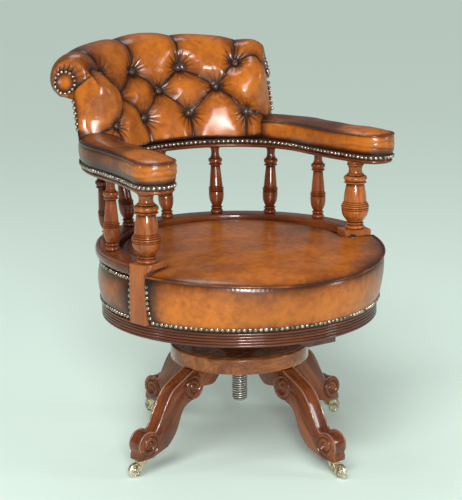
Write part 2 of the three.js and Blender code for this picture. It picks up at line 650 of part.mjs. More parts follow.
// A section swept along the bow. At a tip it narrows as a half circle in plan, and
// sectionAt gets the share of the full width that is left there
function bowSweep(sectionAt, fromTurn, toTurn, steps, halfWidth) {
  const rings = [];
  for (let i = 0; i <= steps; i++) {
    const turn = fromTurn + ((toTurn - fromTurn) * i) / steps;
    rings.push(sectionAt(1).map(([s, z]) => beside(turn, s, z)));
  }
  const tipShares = [0.4, 0.7, 0.9, 0.99];
  const tip = (turn) => {
    const out = bow.outwardAt(turn);
    const ahead = out.clone().applyAxisAngle(new THREE.Vector3(0, 0, 1), -Math.sign(turn) * Math.PI / 2);
    return tipShares.map((share) => {
      const left = Math.sqrt(1 - share ** 2);
      const centre = bow.atTurn(turn).addScaledVector(ahead, halfWidth * share);
      return sectionAt(left).map(([s, z]) => centre.clone().addScaledVector(out, s * left).setZ(z));
    });
  };
  if (fromTurn <= -TIP_TURN_DEG) rings.unshift(...tip(fromTurn).reverse());
  if (toTurn >= TIP_TURN_DEG) rings.push(...tip(toTurn));
  return loft(rings);
}

const bowHalf = BOW_WIDTH / 2;
const bowBottom = hoopTop + SPINDLE_LENGTH;
const bowTop = bowBottom + BOW_THICKNESS;
const bowStraight = bowHalf - BOW_NOSE_DEPTH;
place('arm_bow', bowSweep(() => [
  [-bowStraight, bowBottom], [bowStraight, bowBottom], [bowHalf, bowBottom + BOW_NOSE_DEPTH],
  [bowHalf, bowTop], [-bowHalf, bowTop], [-bowHalf, bowBottom + BOW_NOSE_DEPTH],
], -TIP_TURN_DEG, TIP_TURN_DEG, 44, bowHalf), mahogany);

// Turned work: [height share, radius share] from the foot up
const spindleProfileShares = [
  [0, 0.74], [0.05, 0.8], [0.09, 0.74], [0.105, 0.62], [0.13, 0.7], [0.2, 0.92], [0.27, 1], [0.34, 0.98],
  [0.355, 0.86], [0.37, 1], [0.385, 0.86], [0.5, 0.8], [0.71, 0.66], [0.725, 0.86], [0.76, 0.92],
  [0.8, 0.86], [0.82, 0.62], [0.93, 0.56], [1, 0.66],
];
const postProfileShares = [
  [0, 0.6], [0.02, 0.72], [0.06, 0.72], [0.075, 0.6], [0.12, 0.66], [0.18, 0.86], [0.26, 1], [0.31, 0.98],
  [0.325, 0.9], [0.34, 1], [0.37, 1], [0.385, 0.86], [0.5, 0.82], [0.66, 0.68], [0.675, 0.82],
  [0.71, 0.86], [0.75, 0.8], [0.78, 0.56], [0.84, 0.54], [0.9, 0.6], [1, 0.62],
];
function turnedColumn(profile, bulb, segments) {
  const bottom = hoopTop + SEAT_FIT;
  const length = bowBottom - SEAT_FIT - bottom;
  const points = profile.map(([upShare, outShare]) => [bulb * outShare, bottom + length * upShare]);
  return turned([[0, bottom], ...points, [0, bottom + length]], segments);
}

// A spindle leans out to the middle of the bow, with both ends kept level
const spindleRadius = SEAT_RADIUS - HOOP_WIDTH / 2;
for (let i = 0; i < SPINDLES; i++) {
  const angle = (90 + SPINDLE_STEP_DEG * ((SPINDLES - 1) / 2 - i)) * DEG;
  const away = (turn) => {
    const { x, y } = bow.atTurn(turn);
    return Math.abs(Math.atan2(y, x) - angle);
  };
  const turns = Array.from({ length: 361 }, (_, step) => (step / 2) - ARM_TURN_DEG);
  const nearest = turns.reduce((best, turn) => (away(turn) < away(best) ? turn : best));
  const lean = Math.max(0, bow.atTurn(nearest).length() - spindleRadius) / SPINDLE_LENGTH;
  const geometry = turnedColumn(spindleProfileShares, SPINDLE_BULB_RADIUS, 10);
  geometry.translate(0, 0, -hoopTop);
  geometry.applyMatrix4(new THREE.Matrix4().set(1, 0, lean, 0, 0, 1, 0, 0, 0, 0, 1, 0, 0, 0, 0, 1));
  place(`spindle_${i + 1}`, geometry.translate(spindleRadius, 0, hoopTop), mahogany).rotation.z = angle;
}
for (const [end, sign] of [['left', 1], ['right', -1]]) {
  const geometry = turnedColumn(postProfileShares, POST_BULB_RADIUS, 12);
  place(`post_${end}`, atPost(geometry.translate(SEAT_RADIUS - POST_INSET, 0, 0), sign), mahogany);
}

// Back: every section is worked out from the scroll at that place round the bow
const backFoot = bowTop + SEAT_FIT;
function between(middle, end, turn, ease = 1.6) {
  const share = Math.min(1, Math.abs(turn) / BACK_END_TURN_DEG);
  return middle + (end - middle) * share ** ease;
}
const scrollRadiusAt = (turn) => between(SCROLL_RADIUS, SCROLL_END_RADIUS, turn, 1.2);
const scrollHeightAt = (turn) => between(SCROLL_HEIGHT, SCROLL_END_HEIGHT, turn, 1.2);

// Where the outside of the back is: it leans out as a straight line from foot to scroll
function outerAt(turn, inset, z) {
  const lean = between(OUTER_LEAN_WIDTH, OUTER_LEAN_END_WIDTH, turn);
  return BACK_OUTER_DEPTH - inset + (lean * (z - backFoot)) / (backTopAt(turn) - backFoot);
}
function backTopAt(turn) {
  return bowTop + scrollHeightAt(turn) - scrollRadiusAt(turn) * 0.95;
}

// The line that the stuffing stands on, from the foot up the face and over the scroll.
// Face points are [share of the scroll's height, share of the way to its inner side]
const faceMiddleShares = [[0, 0], [0.34, 0.27], [0.66, 0.7], [0.88, 0.97]];
const faceEndShares = [[0, 0], [0.36, -0.03], [0.68, 0.17], [0.9, 0.5]];
const scrollDegrees = [150, 120, 90, 60, 30, 0, -30, -60];
function stuffingLine(turn) {
  const out = between(SCROLL_OUT_DEPTH, SCROLL_OUT_END_DEPTH, turn);
  const rise = scrollHeightAt(turn);
  const radius = scrollRadiusAt(turn);
  const inner = out - radius;
  const past = Math.max(0, Math.abs(turn) - BACK_NOSE_TURN_DEG) / (BACK_END_TURN_DEG - BACK_NOSE_TURN_DEG);
  const left = Math.sqrt(Math.max(0, 1 - (past * 0.98) ** 2));
  const face = faceMiddleShares.map(([upShare, inShare], i) => {
    const [upEndShare, inEndShare] = faceEndShares[i];
    const z = bowTop + rise * between(upShare, upEndShare, turn);
    const s = -BACK_FOOT_DEPTH + (inner + BACK_FOOT_DEPTH) * between(inShare, inEndShare, turn);
    const outer = Math.min(outerAt(turn, 0, z), out);
    return new THREE.Vector2(i === 0 ? s : outer + (s - outer) * left, Math.max(z, backFoot));
  });
  const scroll = scrollDegrees.map((deg) => new THREE.Vector2(
    out + radius * Math.cos(deg * DEG), bowTop + rise + radius * Math.sin(deg * DEG)));
  return new THREE.SplineCurve([...face, ...scroll]);
}

// Buttons as [share of the back's half width, share of the face's length from the bow]
const buttonShares = [
  [-0.83, 0.29], [-0.252, 0.29], [0.252, 0.29], [0.83, 0.29],
  [-0.553, 0.57], [0, 0.57], [0.553, 0.57],
  [-0.774, 0.84], [-0.245, 0.8], [0.245, 0.8], [0.774, 0.84],
];
// Pleats join the buttons in diamonds and run out to the bow, over the scroll and to the ends
const pleatShares = [];
for (const middle of [4, 5, 6]) {
  for (const corner of [middle - 4, middle - 3, middle + 3, middle + 4]) {
    pleatShares.push([buttonShares[middle], buttonShares[corner]]);
  }
}
for (const index of [0, 1, 2, 3]) pleatShares.push([buttonShares[index], [buttonShares[index][0], 0]]);
for (const index of [7, 8, 9, 10]) pleatShares.push([buttonShares[index], [buttonShares[index][0], 2.2]]);
for (const index of [0, 3, 7, 10]) {
  pleatShares.push([buttonShares[index], [Math.sign(buttonShares[index][0]) * 1.1, buttonShares[index][1]]]);
}

// Height of the stuffing over its line: full between the pleats, drawn in at the buttons
const faceLength = SCROLL_HEIGHT + BACK_FOOT_DEPTH;
const halfWidth = (armSpan - BACK_FOOT_DEPTH) * BACK_END_TURN_DEG * DEG;
function stuffingAt(turn, along) {
  const here = new THREE.Vector3((turn / BACK_END_TURN_DEG) * halfWidth, along, 0);
  const laid = ([wideShare, upShare]) => new THREE.Vector3(wideShare * halfWidth, upShare * faceLength, 0);
  const button = Math.min(...buttonShares.map((at) => laid(at).distanceTo(here)));
  const pleat = Math.min(...pleatShares.map(([from, to]) => {
    const fold = new THREE.Line3(laid(from), laid(to));
    return fold.closestPointToPoint(here, true, new THREE.Vector3()).distanceTo(here);
  }));
  const clear = 1 - Math.exp(-((button / BUTTON_REACH_WIDTH) ** 2));
  const full = 0.55 + 0.45 * (1 - Math.exp(-((pleat / PLEAT_REACH_WIDTH) ** 2)));
  return STUFFING_THICKNESS * clear * full - BUTTON_DEPTH * (1 - clear);
}

// One section of the upholstery, as points out from the bow's middle line and up
const SECTION_STEPS = 24;
function backSection(turn, wrapsBoard) {
  const line = stuffingLine(turn);
  const section = [];
  let along = 0;
  let last = line.getPoint(0);
  for (let i = 0; i <= SECTION_STEPS; i++) {
    const point = line.getPoint(i / SECTION_STEPS);
    const way = line.getTangent(i / SECTION_STEPS);
    along += point.distanceTo(last);
    last = point;
    const fade = i === 0 ? 0 : 1 - THREE.MathUtils.smoothstep(i / SECTION_STEPS, 0.3, 0.75);
    const stuffed = stuffingAt(turn, along) * fade;
    section.push([point.x - way.y * stuffed, Math.max(backFoot, point.y + way.x * stuffed)]);
  }
  const inset = wrapsBoard ? 0 : BACK_BOARD_THICKNESS + SEAT_FIT;
  const top = backTopAt(turn) + SEAT_FIT;
  section.push([outerAt(turn, 0, top) + SEAT_FIT, top], [outerAt(turn, inset, top), top]);
  section.push([outerAt(turn, inset, backFoot), backFoot]);
  return section;
}

// A section leans in towards the middle as it goes up, the more the nearer it is to an end
function ringAt(section, turn) {
  return section.map(([s, z]) => {
    const upShare = Math.min(1, Math.max(0, z - backFoot) / SCROLL_HEIGHT);
    const topShare = SCROLL_END_TURN_DEG / BACK_END_TURN_DEG;
    return beside(turn * (1 + (topShare - 1) * upShare ** 1.5), s, z);
  });
}

// Sections at the same places for every layer, so the layers keep their fits
const innerTurns = Array.from({ length: 25 }, (_, i) => BACK_BOARD_TURN_DEG * (i / 12 - 1));
const endTurns = [0.002, 0.4, 0.7, 0.88, 1].map(
  (share) => BACK_BOARD_TURN_DEG + (BACK_END_TURN_DEG - BACK_BOARD_TURN_DEG) * share);
place('back_upholstery', loft([
  ...endTurns.toReversed().map((turn) => ringAt(backSection(-turn, true), -turn)),
  ...innerTurns.map((turn) => ringAt(backSection(turn, false), turn)),
  ...endTurns.map((turn) => ringAt(backSection(turn, true), turn)),
]), leather);

// The board and the outside back stop short of the leather that wraps round the ends.
// Both layers' points run the same way where they touch, so that their facets match
const layerEnd = BACK_BOARD_TURN_DEG * 0.996; // the ends twist a little, so they stand off more
const layerTurns = innerTurns.map((turn) => THREE.MathUtils.clamp(turn, -layerEnd, layerEnd));
function layer(from, to) {
  return layerTurns.map((turn) => {
    const top = backTopAt(turn);
    return ringAt([
      [outerAt(turn, from, top), top], [outerAt(turn, from, backFoot), backFoot],
      [outerAt(turn, to, backFoot), backFoot], [outerAt(turn, to, top), top],
    ], turn);
  });
}
place('back_frame', loft(layer(BACK_BOARD_THICKNESS, BACK_PANEL_THICKNESS + SEAT_FIT)), beech);
place('outside_back', loft(layer(0, BACK_PANEL_THICKNESS)), leather);

// Arm pads from the ends of the back to the tips
function padGeometry(sign) {
  const half = bowHalf + PAD_OVERHANG;
  const bottom = bowTop + SEAT_FIT;
  const piping = bottom + PAD_WALL_HEIGHT;
  const swell = bottom + PAD_WALL_HEIGHT * 0.45;
  const section = (left) => {
    const crowned = PAD_CROWN_HEIGHT * left;
    const shoulder = piping + crowned * 0.35;
    const rise = piping + crowned * 0.85;
    return [
      [-half + PAD_BULGE_DEPTH, bottom], [half - PAD_BULGE_DEPTH, bottom], [half, swell],
      [half, piping], [half * 0.9, shoulder], [half * 0.45, rise], [0, piping + crowned],
      [-half * 0.45, rise], [-half * 0.9, shoulder], [-half, piping], [-half, swell],
    ];
  };
  const start = BACK_END_TURN_DEG + SEAT_FIT / (armSpan * DEG);
  return bowSweep(
    section, sign > 0 ? start : -TIP_TURN_DEG, sign > 0 ? TIP_TURN_DEG : -start, 18, half);
}
place('arm_pad_left', padGeometry(-1), leather);
place('arm_pad_right', padGeometry(1), leather);

// The origin is on the floor, in the middle of the space that the chair takes up
chair.updateMatrixWorld(true);
const bounds = new THREE.Box3().setFromObject(chair, true);
const middle = bounds.getCenter(new THREE.Vector3());
chair.position.set(-middle.x, -middle.y, -bounds.min.z);
chair.updateMatrixWorld(true);

export default chair;
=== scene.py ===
import math

import bmesh
import bpy
import numpy as np
from mathutils import Matrix, Vector


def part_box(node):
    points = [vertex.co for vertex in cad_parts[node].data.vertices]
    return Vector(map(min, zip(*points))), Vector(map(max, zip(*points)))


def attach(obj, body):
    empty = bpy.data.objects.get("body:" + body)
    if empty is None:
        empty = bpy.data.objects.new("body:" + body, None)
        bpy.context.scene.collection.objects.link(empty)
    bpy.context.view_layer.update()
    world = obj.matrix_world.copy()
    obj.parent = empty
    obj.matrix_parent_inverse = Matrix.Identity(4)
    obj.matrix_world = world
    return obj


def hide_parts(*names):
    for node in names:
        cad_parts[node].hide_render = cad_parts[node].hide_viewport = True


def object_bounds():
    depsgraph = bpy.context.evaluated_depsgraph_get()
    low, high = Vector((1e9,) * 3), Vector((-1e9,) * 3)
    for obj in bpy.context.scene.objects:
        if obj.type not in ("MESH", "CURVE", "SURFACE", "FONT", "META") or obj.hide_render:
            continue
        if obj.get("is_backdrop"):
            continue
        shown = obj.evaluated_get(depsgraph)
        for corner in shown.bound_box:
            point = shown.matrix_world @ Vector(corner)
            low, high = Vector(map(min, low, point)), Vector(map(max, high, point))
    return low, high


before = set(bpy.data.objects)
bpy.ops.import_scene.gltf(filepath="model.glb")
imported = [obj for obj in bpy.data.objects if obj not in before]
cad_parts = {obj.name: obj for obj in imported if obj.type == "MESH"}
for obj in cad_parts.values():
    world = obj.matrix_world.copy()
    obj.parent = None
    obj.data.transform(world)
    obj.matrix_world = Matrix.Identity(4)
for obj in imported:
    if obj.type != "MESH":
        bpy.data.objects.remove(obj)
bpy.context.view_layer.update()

# The view: the chair as the photograph shows it, from the front left and a little above.
# Places are measured from the swivel's line, which is the middle of the base disc.
disc_low, disc_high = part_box("base_disc")
swivel = np.array([(disc_low.x + disc_high.x) / 2, (disc_low.y + disc_high.y) / 2, 0.0])


def toward(azimuth_deg, elevation_deg):
    """The way out from the chair, by its angle from the front and its angle over the floor."""
    azimuth, elevation = math.radians(azimuth_deg), math.radians(elevation_deg)
    flat = math.cos(elevation)
    return Vector((math.sin(azimuth) * flat, -math.cos(azimuth) * flat, math.sin(elevation)))


def add_object(name, data):
    made = bpy.data.objects.new(name, data)
    bpy.context.scene.collection.objects.link(made)
    return made


def place_camera(azimuth_deg, elevation_deg, roll_deg, distance, look_height, slide, lens):
    azimuth, roll = math.radians(azimuth_deg), math.radians(roll_deg)
    back = toward(azimuth_deg, elevation_deg)
    level = Vector((math.cos(azimuth), math.sin(azimuth), 0))
    upright = back.cross(level)
    right = level * math.cos(roll) + upright * math.sin(roll)
    up = upright * math.cos(roll) - level * math.sin(roll)
    place = Vector(swivel) + Vector((0, 0, look_height)) + level * slide + back * distance
    camera = bpy.data.cameras.new("view")
    camera.lens, camera.sensor_width, camera.sensor_fit, camera.clip_end = lens, 36, "AUTO", 200
    view = add_object("view", camera)
    view.matrix_world = Matrix.Translation(place) @ Matrix((right, up, back)).transposed().to_4x4()
    bpy.context.scene.camera = view


place_camera(azimuth_deg=-34.955, elevation_deg=13.289, roll_deg=-0.328, distance=3.5895,
             look_height=0.4402, slide=-0.01733, lens=119.508)
bpy.context.scene.view_settings.view_transform = "Standard"


# The room: a plain pale floor that runs back out of sight, and plain soft studio light. A key
# lamp and a broad one that only adds sheen to the polish stand by the camera, with a fill at
# each side, one high behind, and an even light from high in front.
class Wire:
    """A socket of a material's nodes, with arithmetic."""

    def __init__(self, finish, socket):
        self.finish, self.socket = finish, socket

    def __add__(self, other):
        return self.finish.maths("ADD", self, other)

    def __rsub__(self, other):
        return self.finish.maths("SUBTRACT", other, self)

    def __mul__(self, other):
        return self.finish.maths("MULTIPLY", self, other)

    __radd__ = __add__
    __rmul__ = __mul__


def rgba(colour):
    return colour if isinstance(colour, Wire) else (*colour, 1.0)


class Finish:
    """A material, or the world, that is built node by node."""

    def __init__(self, name, owner=None):
        self.material = owner or bpy.data.materials.new(name)
        self.material.use_nodes = True
        self.nodes = self.material.node_tree.nodes
        self.links = self.material.node_tree.links
        self.nodes.clear()

    def add(self, kind, settings=None, sockets=None, output=0):
        node = self.nodes.new("ShaderNode" + kind)
        for key, value in (settings or {}).items():
            setattr(node, key, value)
        for key, value in (sockets or {}).items():
            if isinstance(value, Wire):
                self.links.new(value.socket, node.inputs[key])
            else:
                node.inputs[key].default_value = value
        return Wire(self, node.outputs[output]) if node.outputs else node

    def maths(self, operation, first, second):
        return self.add("Math", {"operation": operation}, {0: first, 1: second})

    def step(self, value, low, high):
        """0 below low, 1 above high, and smooth between."""
        return self.add("MapRange", {"interpolation_type": "SMOOTHSTEP"},
                        {"Value": value, "From Min": low, "From Max": high})

    def mix(self, share, first, second):
        """From the first colour to the second as share goes from 0 to 1."""
        return self.add("Mix", {"data_type": "RGBA"}, {0: share, 6: rgba(first), 7: rgba(second)}, 2)

    def scaled(self, place, *scale):
        return self.add("VectorMath", {"operation": "MULTIPLY"}, {0: place, 1: scale})

    def noise(self, place, scale=1.0, detail=2.0, roughness=0.5, distortion=0.0):
        return self.add("TexNoise", {}, {
            "Vector": place, "Scale": scale, "Detail": detail, "Roughness": roughness,
            "Distortion": distortion})

    def place(self):
        return self.add("TexCoord", output="Object")

    def attribute(self, name, output="Fac"):
        return self.add("Attribute", {"attribute_name": name}, {}, output)

    def bump(self, height, strength, distance):
        return self.add("Bump", {}, {"Height": height, "Strength": strength, "Distance": distance})

    def surface(self, **sockets):
        shader = self.add("BsdfPrincipled", {}, {key.replace("_", " "): v for key, v in sockets.items()})
        self.add("OutputMaterial", {}, {"Surface": shader})
        return self.material


FLOOR_REACH, LAMP_AIM_HEIGHT = 60.0, 0.5
floor_mesh = bpy.data.meshes.new("floor")
floor_mesh.from_pydata([(x * FLOOR_REACH, y * FLOOR_REACH, 0) for x, y in (
    (-1, -1), (1, -1), (1, 1), (-1, 1))], [], [(0, 1, 2, 3)])
floor_mesh.materials.append(Finish("pale floor").surface(
    Base_Color=rgba((0.76, 0.92, 0.825)), Roughness=0.75, Specular_IOR_Level=0.2))
add_object("floor", floor_mesh)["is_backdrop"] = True

bpy.context.scene.world = bpy.data.worlds.new("studio air")
air = Finish("", bpy.context.scene.world)
air.add("OutputWorld", {}, {
    "Surface": air.add("Background", {}, {"Color": rgba((1.0, 1.0, 1.0)), "Strength": 0.2})})

# Each lamp's azimuth and elevation as the chair sees it, its distance, its sides and its power
for name, azimuth_deg, elevation_deg, distance, width, height, power in (
        ("key", -31, 14, 3.1, 0.5, 0.5, 50), ("broad_sheen", -26, 22, 3.1, 1.0, 1.5, 62),
        ("fill_right", 44, 15, 3.4, 0.42, 0.85, 17), ("fill_left", -105, 22, 3.2, 0.4, 0.5, 8),
        ("over_back", 170, 62, 2.8, 1.2, 0.8, 14)):
    lamp = bpy.data.lights.new(name, "AREA")
    lamp.shape, lamp.size, lamp.size_y, lamp.energy = "RECTANGLE", width, height, power
    holder = add_object(name, lamp)
    holder.visible_diffuse = name != "broad_sheen"
    back = toward(azimuth_deg, elevation_deg)
    holder.location = Vector(swivel) + Vector((0, 0, LAMP_AIM_HEIGHT)) + back * distance
    holder.rotation_euler = back.to_track_quat("Z", "Y").to_euler()
sky = bpy.data.lights.new("high_softbox", "SUN")
sky.energy, sky.angle = 1.85, math.radians(34)
holder = add_object("high_softbox", sky)
holder.visible_glossy = False
holder.rotation_euler = (math.radians(42), 0, math.radians(-50))


# Casters: a brass plate and swivelling horn under each foot, with a cast wheel on a steel axle.
# The brass is bright, and tarnish has spread over it in patches.
WHEEL_RADIUS, WHEEL_HALF, HUB_HALF = 0.016, 0.006, 0.0075
AXLE_RADIUS, CASTER_TRAIL = 0.0024, 0.020
CASTER_CIRCLE_RADIUS = 0.2855
FOOT_HEIGHT = 0.0375
LEG_TURN_DEG = 8.3
CORNERS = {"front_left": 180, "front_right": 270, "back_right": 0, "back_left": 90}


def brass_finish(name, bright, tarnish):
    metal = Finish(name)
    place = metal.place()
    patches = metal.step(metal.noise(place, 140.0, 4.0, 0.6), 0.42, 0.66)
    scratches = metal.noise(metal.scaled(place, 1.0, 1.0, 7.0), 500.0, 3.0)
    return metal.surface(
        Base_Color=metal.mix(patches, bright, tarnish), Metallic=1.0,
        Roughness=0.2 + 0.22 * patches + 0.1 * scratches, Normal=metal.bump(scratches, 0.15, 0.0004))


caster_brass = brass_finish("worn brass", (0.74, 0.62, 0.42), (0.28, 0.2, 0.12))
wheel_brass = brass_finish("cream brass", (0.85, 0.77, 0.62), (0.46, 0.37, 0.26))
axle_steel = brass_finish("dull steel", (0.5, 0.48, 0.45), (0.2, 0.18, 0.16))


def grid_faces(rows, columns, ring=True, loop=False):
    """Quads over rows of points. ring joins a row's ends, and loop the last row to the first."""
    row = np.arange(rows if loop else rows - 1)[:, None]
    column = np.arange(columns if ring else columns - 1)[None, :]
    here, there = row * columns, (row + 1) % rows * columns
    ahead = (column + 1) % columns
    quads = np.stack([here + column, here + ahead, there + ahead, there + column], -1)
    return quads.reshape(-1, 4).tolist()


def end_caps(rows, columns):
    return [tuple(range(columns)), tuple(range((rows - 1) * columns, rows * columns))]


def add_field(mesh, label, values):
    kind, key = ("FLOAT", "value") if label == "dark" else ("FLOAT_VECTOR", "vector")
    field = mesh.attributes.new(label, kind, "POINT")
    field.data.foreach_set(key, np.asarray(values, np.float32).reshape(-1))


def hand_over(name, mesh, body, nodes=()):
    piece = add_object(name, mesh)
    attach(piece, body)
    if nodes:
        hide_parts(*nodes)
    return piece


def make_piece(name, shells, finish, body, nodes=(), grain=None, dark=None, sharp_deg=38):
    """One object from shells of (points, faces), measured from the swivel's line."""
    points, faces = np.zeros((0, 3)), []
    for shell_points, shell_faces in shells:
        faces += [tuple(len(points) + i for i in face) for face in shell_faces]
        points = np.concatenate([points, shell_points.reshape(-1, 3)])
    mesh = bpy.data.meshes.new(name)
    mesh.from_pydata((points + swivel).tolist(), [], faces)
    for label, values in (("grain", grain), ("dark", dark)):
        if values is not None:
            add_field(mesh, label, values)
    cleaned = bmesh.new()
    cleaned.from_mesh(mesh)
    bmesh.ops.remove_doubles(cleaned, verts=cleaned.verts, dist=1e-6)
    bmesh.ops.dissolve_degenerate(cleaned, edges=cleaned.edges, dist=1e-7)
    bmesh.ops.recalc_face_normals(cleaned, faces=cleaned.faces)
    cleaned.to_mesh(mesh)
    cleaned.free()
    mesh.shade_smooth()
    mesh.set_sharp_from_angle(angle=math.radians(sharp_deg))
    mesh.materials.append(finish)
    return hand_over(name, mesh, body, nodes)


def norm(vectors):
    return np.linalg.norm(vectors, axis=-1)


def circle(sides):
    return np.linspace(0, 2 * np.pi, sides, endpoint=False)


def around(angle, radius=1.0):
    return np.stack([radius * np.cos(angle), radius * np.sin(angle)], -1)


def lifted(flat, height):
    """Places in plan, with their height added."""
    return np.concatenate([flat, np.broadcast_to(height, flat.shape[:-1])[..., None]], -1)


def rounded(outline, radius, steps=3, closed=True):
    """An outline of (out, up) points with its corners rounded."""
    points = [np.array(p, float) for p in outline]
    smooth = []
    for i, corner in enumerate(points):
        if not closed and i in (0, len(points) - 1):
            smooth.append(corner)
            continue
        before, after = points[i - 1] - corner, points[(i + 1) % len(points)] - corner
        reach = min(radius, 0.45 * norm(before), 0.45 * norm(after))
        start, end = (corner + way / norm(way) * reach for way in (before, after))
        for t in np.linspace(0, 1, steps + 1):
            smooth.append((1 - t) ** 2 * start + 2 * t * (1 - t) * corner + t ** 2 * end)
    return np.array(smooth)


def mirrored(half):
    """A profile of (radius, height) points from its upper half, given from the inside out."""
    half = np.array(half)
    return np.concatenate([half * [1, -1], half[::-1]])


def turned_shell(profile, sides, closed=False):
    """A shell of (radius, height) points turned about the upright line through zero."""
    radius, height = np.asarray(profile, float).T
    points = lifted(around(circle(sides)[:, None], radius), height)
    return points.reshape(-1, 3), grid_faces(sides, len(radius), closed, True)


def moved(shell, turn_deg, out=0.0, up=0.0):
    """A shell slid along +X and up, and then turned about the swivel's line."""
    cos, sin = math.cos(math.radians(turn_deg)), math.sin(math.radians(turn_deg))
    return (shell[0] + [out, 0.0, up]) @ np.array([[cos, sin, 0], [-sin, cos, 0], [0, 0, 1]]), shell[1]


def on_side(shell):
    """A turned shell laid over so that its line runs along Y."""
    return shell[0][:, [0, 2, 1]] * [1, -1, 1], shell[1]


def board_shell(outline, thickness, edge):
    """A board from an outline in (out, up), standing along +X, with softened edges."""
    flat = np.array(outline)
    ahead, behind = np.roll(flat, -1, 0) - flat, flat - np.roll(flat, 1, 0)
    inward = sum(np.stack([v[:, 1], -v[:, 0]], -1) / norm(v)[:, None] for v in (ahead, behind))
    inward /= np.maximum(1.0, (inward ** 2).sum(1) / 2)[:, None]
    turning = np.sum(flat[:, 0] * np.roll(flat[:, 1], -1) - np.roll(flat[:, 0], -1) * flat[:, 1])
    inward *= -np.sign(turning) / 2
    rings = [(flat + inward * inset, thickness / 2 - depth)
             for inset, depth in ((edge, 0), (edge * 0.3, edge * 0.3), (0, edge))]
    rings += [(ring, -depth) for ring, depth in rings[::-1]]
    points = np.concatenate([np.insert(ring, 1, depth, 1) for ring, depth in rings])
    return points, grid_faces(len(rings), len(flat)) + end_caps(len(rings), len(flat))


def caster(corner, turn_deg):
    horn_top, side = FOOT_HEIGHT - 0.0028, HUB_HALF + 0.0003
    on_pintle = (turn_deg, CASTER_CIRCLE_RADIUS)
    on_axle = (turn_deg, CASTER_CIRCLE_RADIUS + CASTER_TRAIL, WHEEL_RADIUS)
    cheek, cheek_faces = board_shell(rounded([
        (-0.008, horn_top), (-0.0035, 0.024), (0.0075, 0.0165), (CASTER_TRAIL - 0.0036, 0.0128),
        (CASTER_TRAIL - 0.001, 0.0114), (CASTER_TRAIL + 0.0026, 0.0122), (CASTER_TRAIL + 0.0044, 0.0155),
        (CASTER_TRAIL + 0.0028, 0.0192), (0.016, 0.0226), (0.011, 0.0275), (0.0088, horn_top)], 0.004),
        0.0026, 0.0007)
    crown = rounded([
        (0.0, horn_top - 0.0042), (0.0104, horn_top - 0.0042), (0.0104, horn_top), (0.0, horn_top)],
        0.0012, closed=False)
    shells = [(cheek + [0, sign * (side + 0.0013), 0], cheek_faces) for sign in (-1, 1)]
    shells.append(turned_shell(crown, 32))
    make_piece(f"horn_{corner}", [moved(shell, *on_pintle) for shell in shells], caster_brass,
               f"caster_{corner}", [f"caster_horn_{corner}"])

    boss = 0.0059
    wheel = rounded(mirrored([
        (0.0029, HUB_HALF), (boss, HUB_HALF), (boss + 0.0006, 0.0028), (WHEEL_RADIUS - 0.0044, 0.0028),
        (WHEEL_RADIUS - 0.0036, WHEEL_HALF), (WHEEL_RADIUS, WHEEL_HALF * 0.5)]), 0.0012)
    make_piece(f"wheel_{corner}", [moved(on_side(turned_shell(wheel, 48, True)), *on_axle)], wheel_brass,
               f"wheel_{corner}", [f"caster_wheel_{corner}"])

    reach = side + 0.0029
    rivet = rounded(mirrored([
        (0.0, reach + 0.0014), (0.0034, reach + 0.0008), (0.0036, reach), (AXLE_RADIUS, reach)]),
        0.0008, closed=False)
    make_piece(f"axle_{corner}", [moved(on_side(turned_shell(rivet, 20)), *on_axle)], axle_steel,
               f"caster_{corner}", [f"caster_axle_{corner}"])

    top, head = FOOT_HEIGHT - 0.0003, horn_top - 0.0045
    plate = rounded([
        (0.0, head - 0.0014), (0.0044, head - 0.0011), (0.005, head), (0.0034, head),
        (0.0034, top - 0.0022), (0.0148, top - 0.0022), (0.015, top), (0.0, top)], 0.0008, closed=False)
    make_piece(f"plate_{corner}", [moved(turned_shell(plate, 40), *on_pintle)], caster_brass,
               "base", [f"caster_plate_{corner}"])


for corner, corner_deg in CORNERS.items():
    caster(corner, corner_deg + LEG_TURN_DEG)


# Legs: four S-scrolls sawn from thick mahogany, with a roll carved at both ends of each face and
# a small bead along the upper edges. They are screwed up under the disc and polished like glass.
LEG_THICKNESS, TONGUE_THICKNESS = 0.034, 0.026
LEG_TOP = disc_low.z - 0.0003
UPPER_ROLL, UPPER_ROLL_RADIUS = (0.1513, 0.168), 0.028
LOWER_ROLL, LOWER_ROLL_RADIUS = (0.277, 0.069), 0.0265
PLINTH_LENGTH, PLINTH_HEIGHT = 0.034, 0.009
LEG_INNER_RADIUS = 0.056
GRAIN_SLANT = math.radians(-52)


def mahogany_finish(name, deep, warm, gold, grime_and_shade, streaky=0.6):
    wood = Finish(name)
    grain, hollow_shade = wood.attribute("grain", "Vector"), wood.attribute("dark")
    figure = wood.step(wood.noise(wood.scaled(grain, 5.0, 26.0, 26.0), 1.0, 3.0, 0.55, 0.6), 0.34, 0.68)
    streaks = wood.step(wood.noise(wood.scaled(grain, 9.0, 210.0, 210.0), 1.0, 5.0, 0.65, 0.4), 0.36, 0.7)
    pores = wood.step(wood.noise(wood.scaled(grain, 90.0, 1700.0, 1700.0), 1.0, 2.0), 0.6, 0.72)
    worn = wood.noise(wood.place(), 60.0, 4.0, 0.6)
    colour = wood.mix(streaky * streaks, wood.mix(figure, warm, gold), deep)
    colour = wood.mix(0.45 * pores, colour, grime_and_shade)
    # The dark field: above zero it darkens cuts, grooves and hollows towards the grime colour, as painted
    # shade with polish gathered in them. Below zero it paints pale lines: painted highlights along the beads
    # and the disc's groove, and the disc's glue line.
    colour = wood.mix(wood.step(hollow_shade, -0.05, -0.4), colour, [0.3 + 0.7 * c for c in gold])
    colour = wood.mix(hollow_shade * (0.55 + 0.6 * worn), colour, grime_and_shade)
    return wood.surface(
        Base_Color=colour, Roughness=0.22 + 0.12 * worn + 0.3 * hollow_shade, Coat_Weight=0.62 - 0.4 * hollow_shade,
        Coat_Roughness=0.07, Coat_IOR=1.5, Specular_IOR_Level=0.15,
        Normal=wood.bump(pores + 0.4 * streaks, 0.12, 0.0004))


